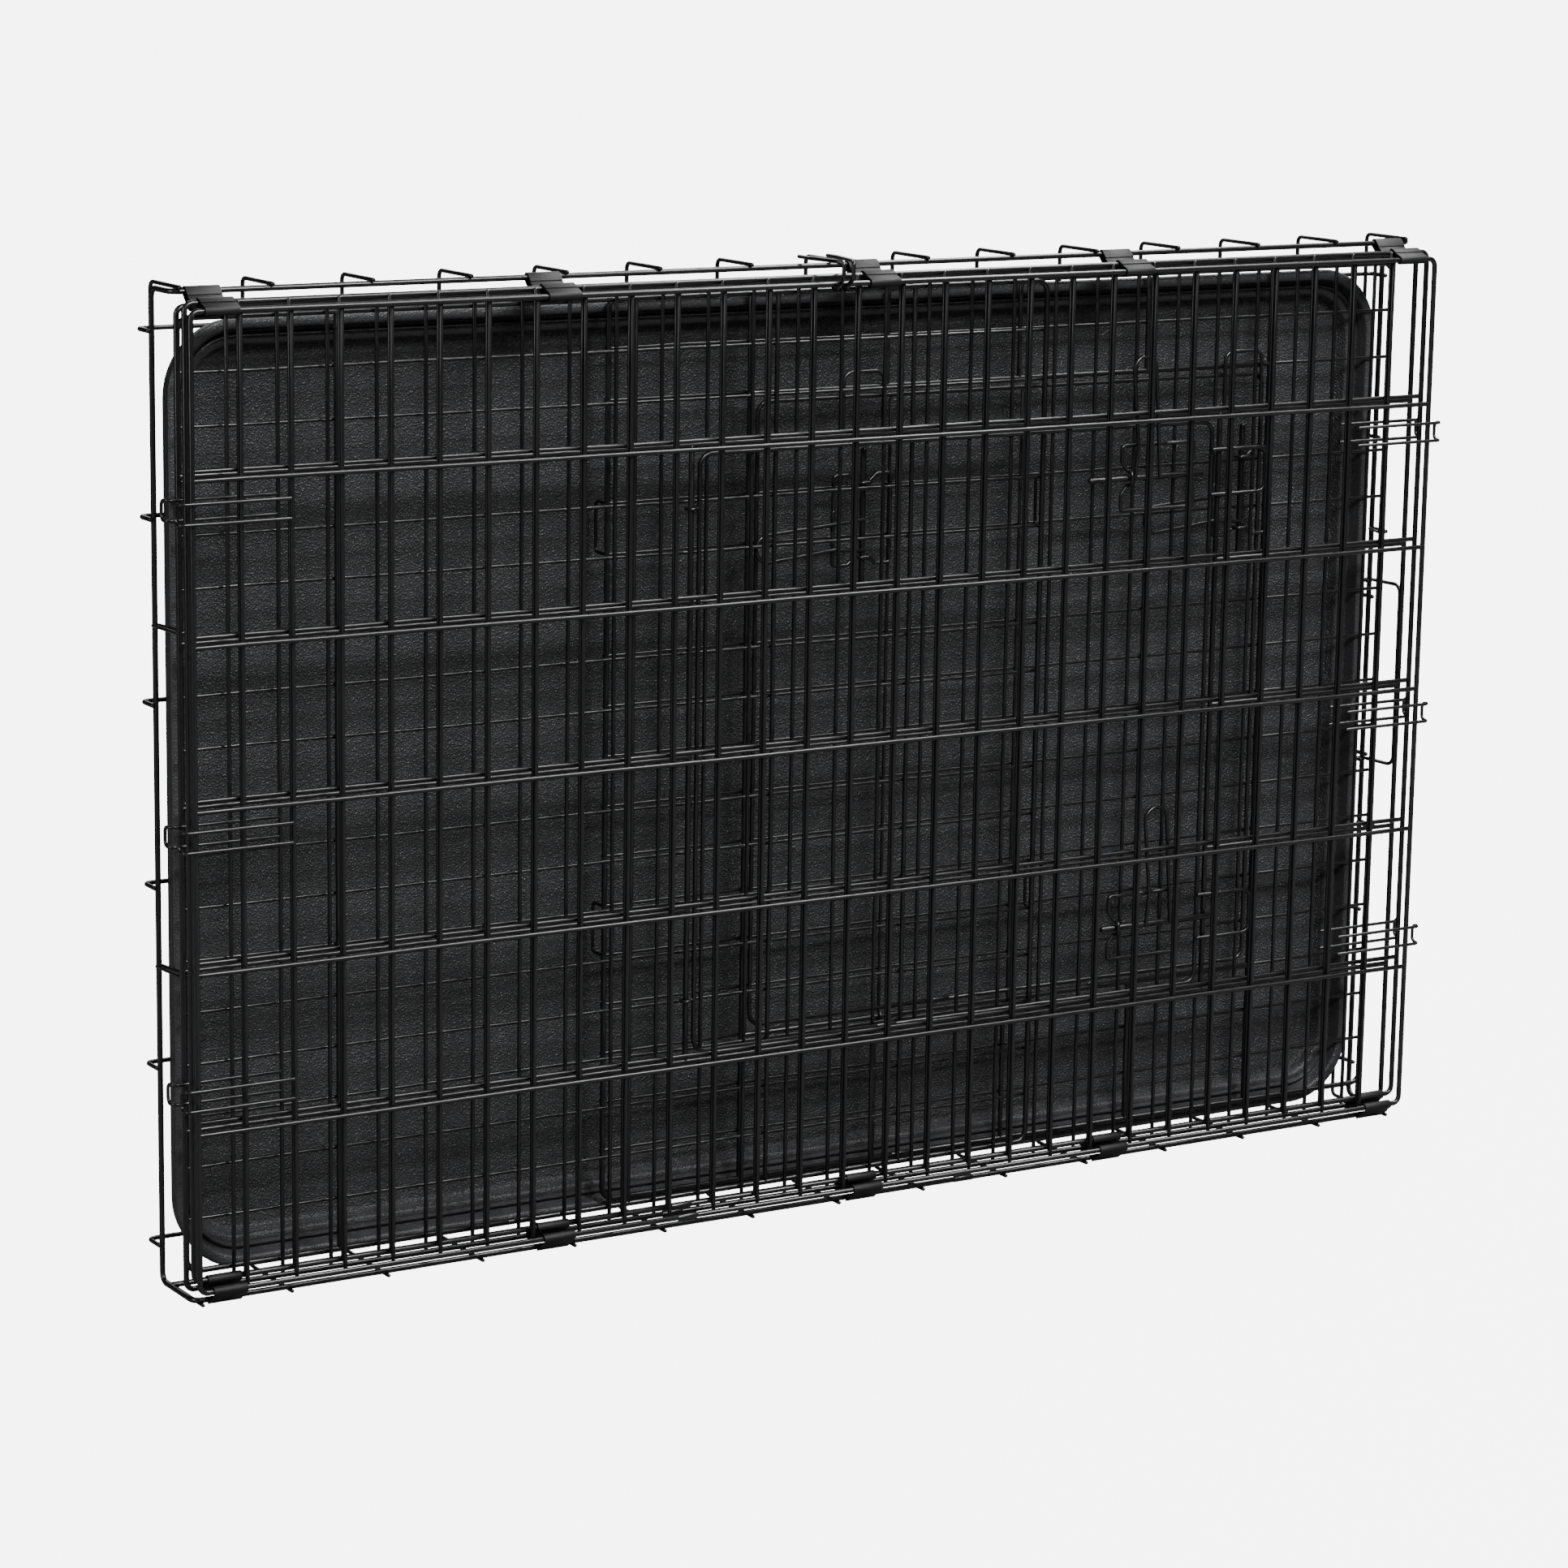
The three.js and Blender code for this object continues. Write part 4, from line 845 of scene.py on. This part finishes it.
def makeClip(name, node, rodA, rodB, x, openBack):
    bm = bmesh.new()
    span = math.dist(rodA, rodB)
    ring = bmesh.ops.create_circle(bm, segments=clip["facets"], radius=gauge["rim"] + gauge["play"])["verts"]
    bmesh.ops.translate(bm, vec=(span, 0, 0), verts=[v for v in ring if v.co.x > clip["halfCut"]])
    straight = min(bm.edges, key=lambda e: (e.verts[0].co + e.verts[1].co).y)
    cut = bmesh.ops.subdivide_edges(bm, edges=[straight], cuts=2)
    fresh = [v for v in cut["geom_inner"] if isinstance(v, bmesh.types.BMVert)]
    slit = [e for e in bm.edges if all(v in fresh for v in e.verts)]
    bmesh.ops.delete(bm, geom=slit, context="EDGES_FACES")
    for vert, push in zip(sorted(fresh, key=lambda v: v.co.x), (-1, 1)):
        vert.co.x = span / 2 + push * clip["slit"] / 2
    if openBack:  # the base's low rod leaves through the back
        far = [v for v in bm.verts if v.co.x < clip["backCut"]]
        bmesh.ops.delete(bm, geom=far, context="VERTS")
    walls = bmesh.ops.extrude_edge_only(bm, edges=bm.edges[:])["geom"]
    moved = [v for v in walls if isinstance(v, bmesh.types.BMVert)]
    bmesh.ops.translate(bm, vec=(0, 0, clip["length"]), verts=moved)
    along = Vector((0, rodB[0] - rodA[0], rodB[1] - rodA[1])).normalized()
    turn = Matrix((along, xAxis.cross(along), xAxis)).transposed()
    bmesh.ops.rotate(bm, matrix=turn, verts=bm.verts)
    bmesh.ops.translate(bm, vec=at(x - clip["length"] / 2, *rodA) + origin, verts=bm.verts)
    bmesh.ops.scale(bm, vec=(mm, mm, mm), verts=bm.verts)
    bmesh.ops.recalc_face_normals(bm, faces=bm.faces)
    middle = (at(x, *rodA).lerp(at(x, *rodB), 0.5) + origin) * mm
    sample = bm.faces[:][0]
    if sample.normal.dot(sample.calc_center_median() - middle) < 0:
        bmesh.ops.reverse_faces(bm, faces=bm.faces)
    piece = meshObject(name, bm)
    sheet = piece.modifiers.new("sheet", "SOLIDIFY")
    sheet.thickness, sheet.offset = clip["sheet"] * mm, 1
    edge = piece.modifiers.new("edge", "BEVEL")
    edge.width, edge.segments, edge.limit_method = clip["edgeBevel"] * mm, clip["edgeSteps"], "ANGLE"
    edge.angle_limit = edgeAngle
    return finishPiece(piece, [node], blackSheet)


clipRows = (
    ("base_top", (topRodDepth, heights["baseHigh"]), (layers["back"], heights["backHigh"]), False),
    ("back_roof", (layers["back"], heights["backLow"]), (layers["roof"], heights["roofLow"]), False),
    ("roof_front", (layers["roof"], heights["roofHigh"]), (layers["front"], heights["frontHigh"]), False),
    ("base_low", (lowRodDepth, heights["baseLow"]), (layers["front"], heights["frontLow"]), True),
)
for row, rodA, rodB, openBack in clipRows:
    for index, column in enumerate(clip["columns"]):
        makeClip(f"clip.{row}.{index + 1}", f"clip_{row}_{index + 1}", rodA, rodB, columnX(column), openBack)
print("clips made")


studio = {
    "floor": 14.0, "floorColour": (0.14, 0.14, 0.14), "floorRoughness": 0.9, "floorGlow": 6.4,
    "backdrop": 6.5, "fill": 0.045,
}
softboxes = (
    ("overheadSoftbox", (1.25, -0.2, 2.35), (0.1, 0, 0.4), 2.4, 0.4, 100),
    ("frontSoftbox", (0.2, -2.3, 2.3), (-0.1, 0, 0.35), 1.3, 0.7, 135),
    ("leftSoftbox", (-2.4, -0.5, 1.1), (-0.2, 0, 0.3), 0.4, 1.4, 20),
    ("rearSoftbox", (0.8, 2.2, 1.8), (0, 0, 0.4), 1.6, 0.8, 22),
)


def makeFloor():
    bm = bmesh.new()
    bmesh.ops.create_grid(bm, x_segments=1, y_segments=1, size=studio["floor"] / 2)
    floor = meshObject("paleFloor", bm)
    material, tree, shader = newMaterial("paleFloor")
    shader.inputs["Base Color"].default_value = (*studio["floorColour"], 1)
    shader.inputs["Roughness"].default_value = studio["floorRoughness"]
    shader.inputs["Emission Color"].default_value = (1, 1, 1, 1)
    seen = addNode(tree, "ShaderNodeLightPath", (-600, -200))
    glow = addNode(tree, "ShaderNodeMath", (-300, -200), operation="MULTIPLY")
    glow.inputs[1].default_value = studio["floorGlow"]
    tree.links.new(seen.outputs["Is Camera Ray"], glow.inputs[0])
    tree.links.new(glow.outputs["Value"], shader.inputs["Emission Strength"])
    floor.data.materials.append(material)


def makeBackdrop():
    world = bpy.data.worlds.new("studio")
    bpy.context.scene.world = world
    world.use_nodes = True
    tree = world.node_tree
    sky = tree.nodes["Background"]
    sky.inputs["Color"].default_value = (1, 1, 1, 1)
    seen = addNode(tree, "ShaderNodeLightPath", (-600, 0))
    level = addNode(tree, "ShaderNodeMapRange", (-300, 0))
    level.inputs["To Min"].default_value = studio["fill"]
    level.inputs["To Max"].default_value = studio["backdrop"]
    tree.links.new(seen.outputs["Is Camera Ray"], level.inputs["Value"])
    tree.links.new(level.outputs["Result"], sky.inputs["Strength"])


def addSoftbox(name, spot, target, width, height, power):
    light = bpy.data.lights.new(name, "AREA")
    light.shape, light.size, light.size_y, light.energy = "RECTANGLE", width, height, power
    box = addObject(name, light)
    box.location = spot
    box.rotation_euler = (Vector(target) - Vector(spot)).to_track_quat("-Z", "Y").to_euler()


makeFloor()
makeBackdrop()
for softbox in softboxes:
    addSoftbox(*softbox)

shot = {
    "lens": 106.69, "sensor": 36, "spot": (-1.5479, -2.4829, 0.8744),
    "tilt": 78.4116, "lean": -0.8849, "heading": -31.2116,  # degrees about X, Y and Z, with no tilt looking straight down
}
cameraData = bpy.data.cameras.new("camera")
cameraData.lens, cameraData.sensor_width = shot["lens"], shot["sensor"]
camera = addObject("camera", cameraData)
turn = Euler([math.radians(shot[angle]) for angle in ("tilt", "lean", "heading")])
camera.matrix_world = Matrix.LocRotScale(Vector(shot["spot"]), turn, None)
bpy.context.scene.camera = camera

print("scene ready")
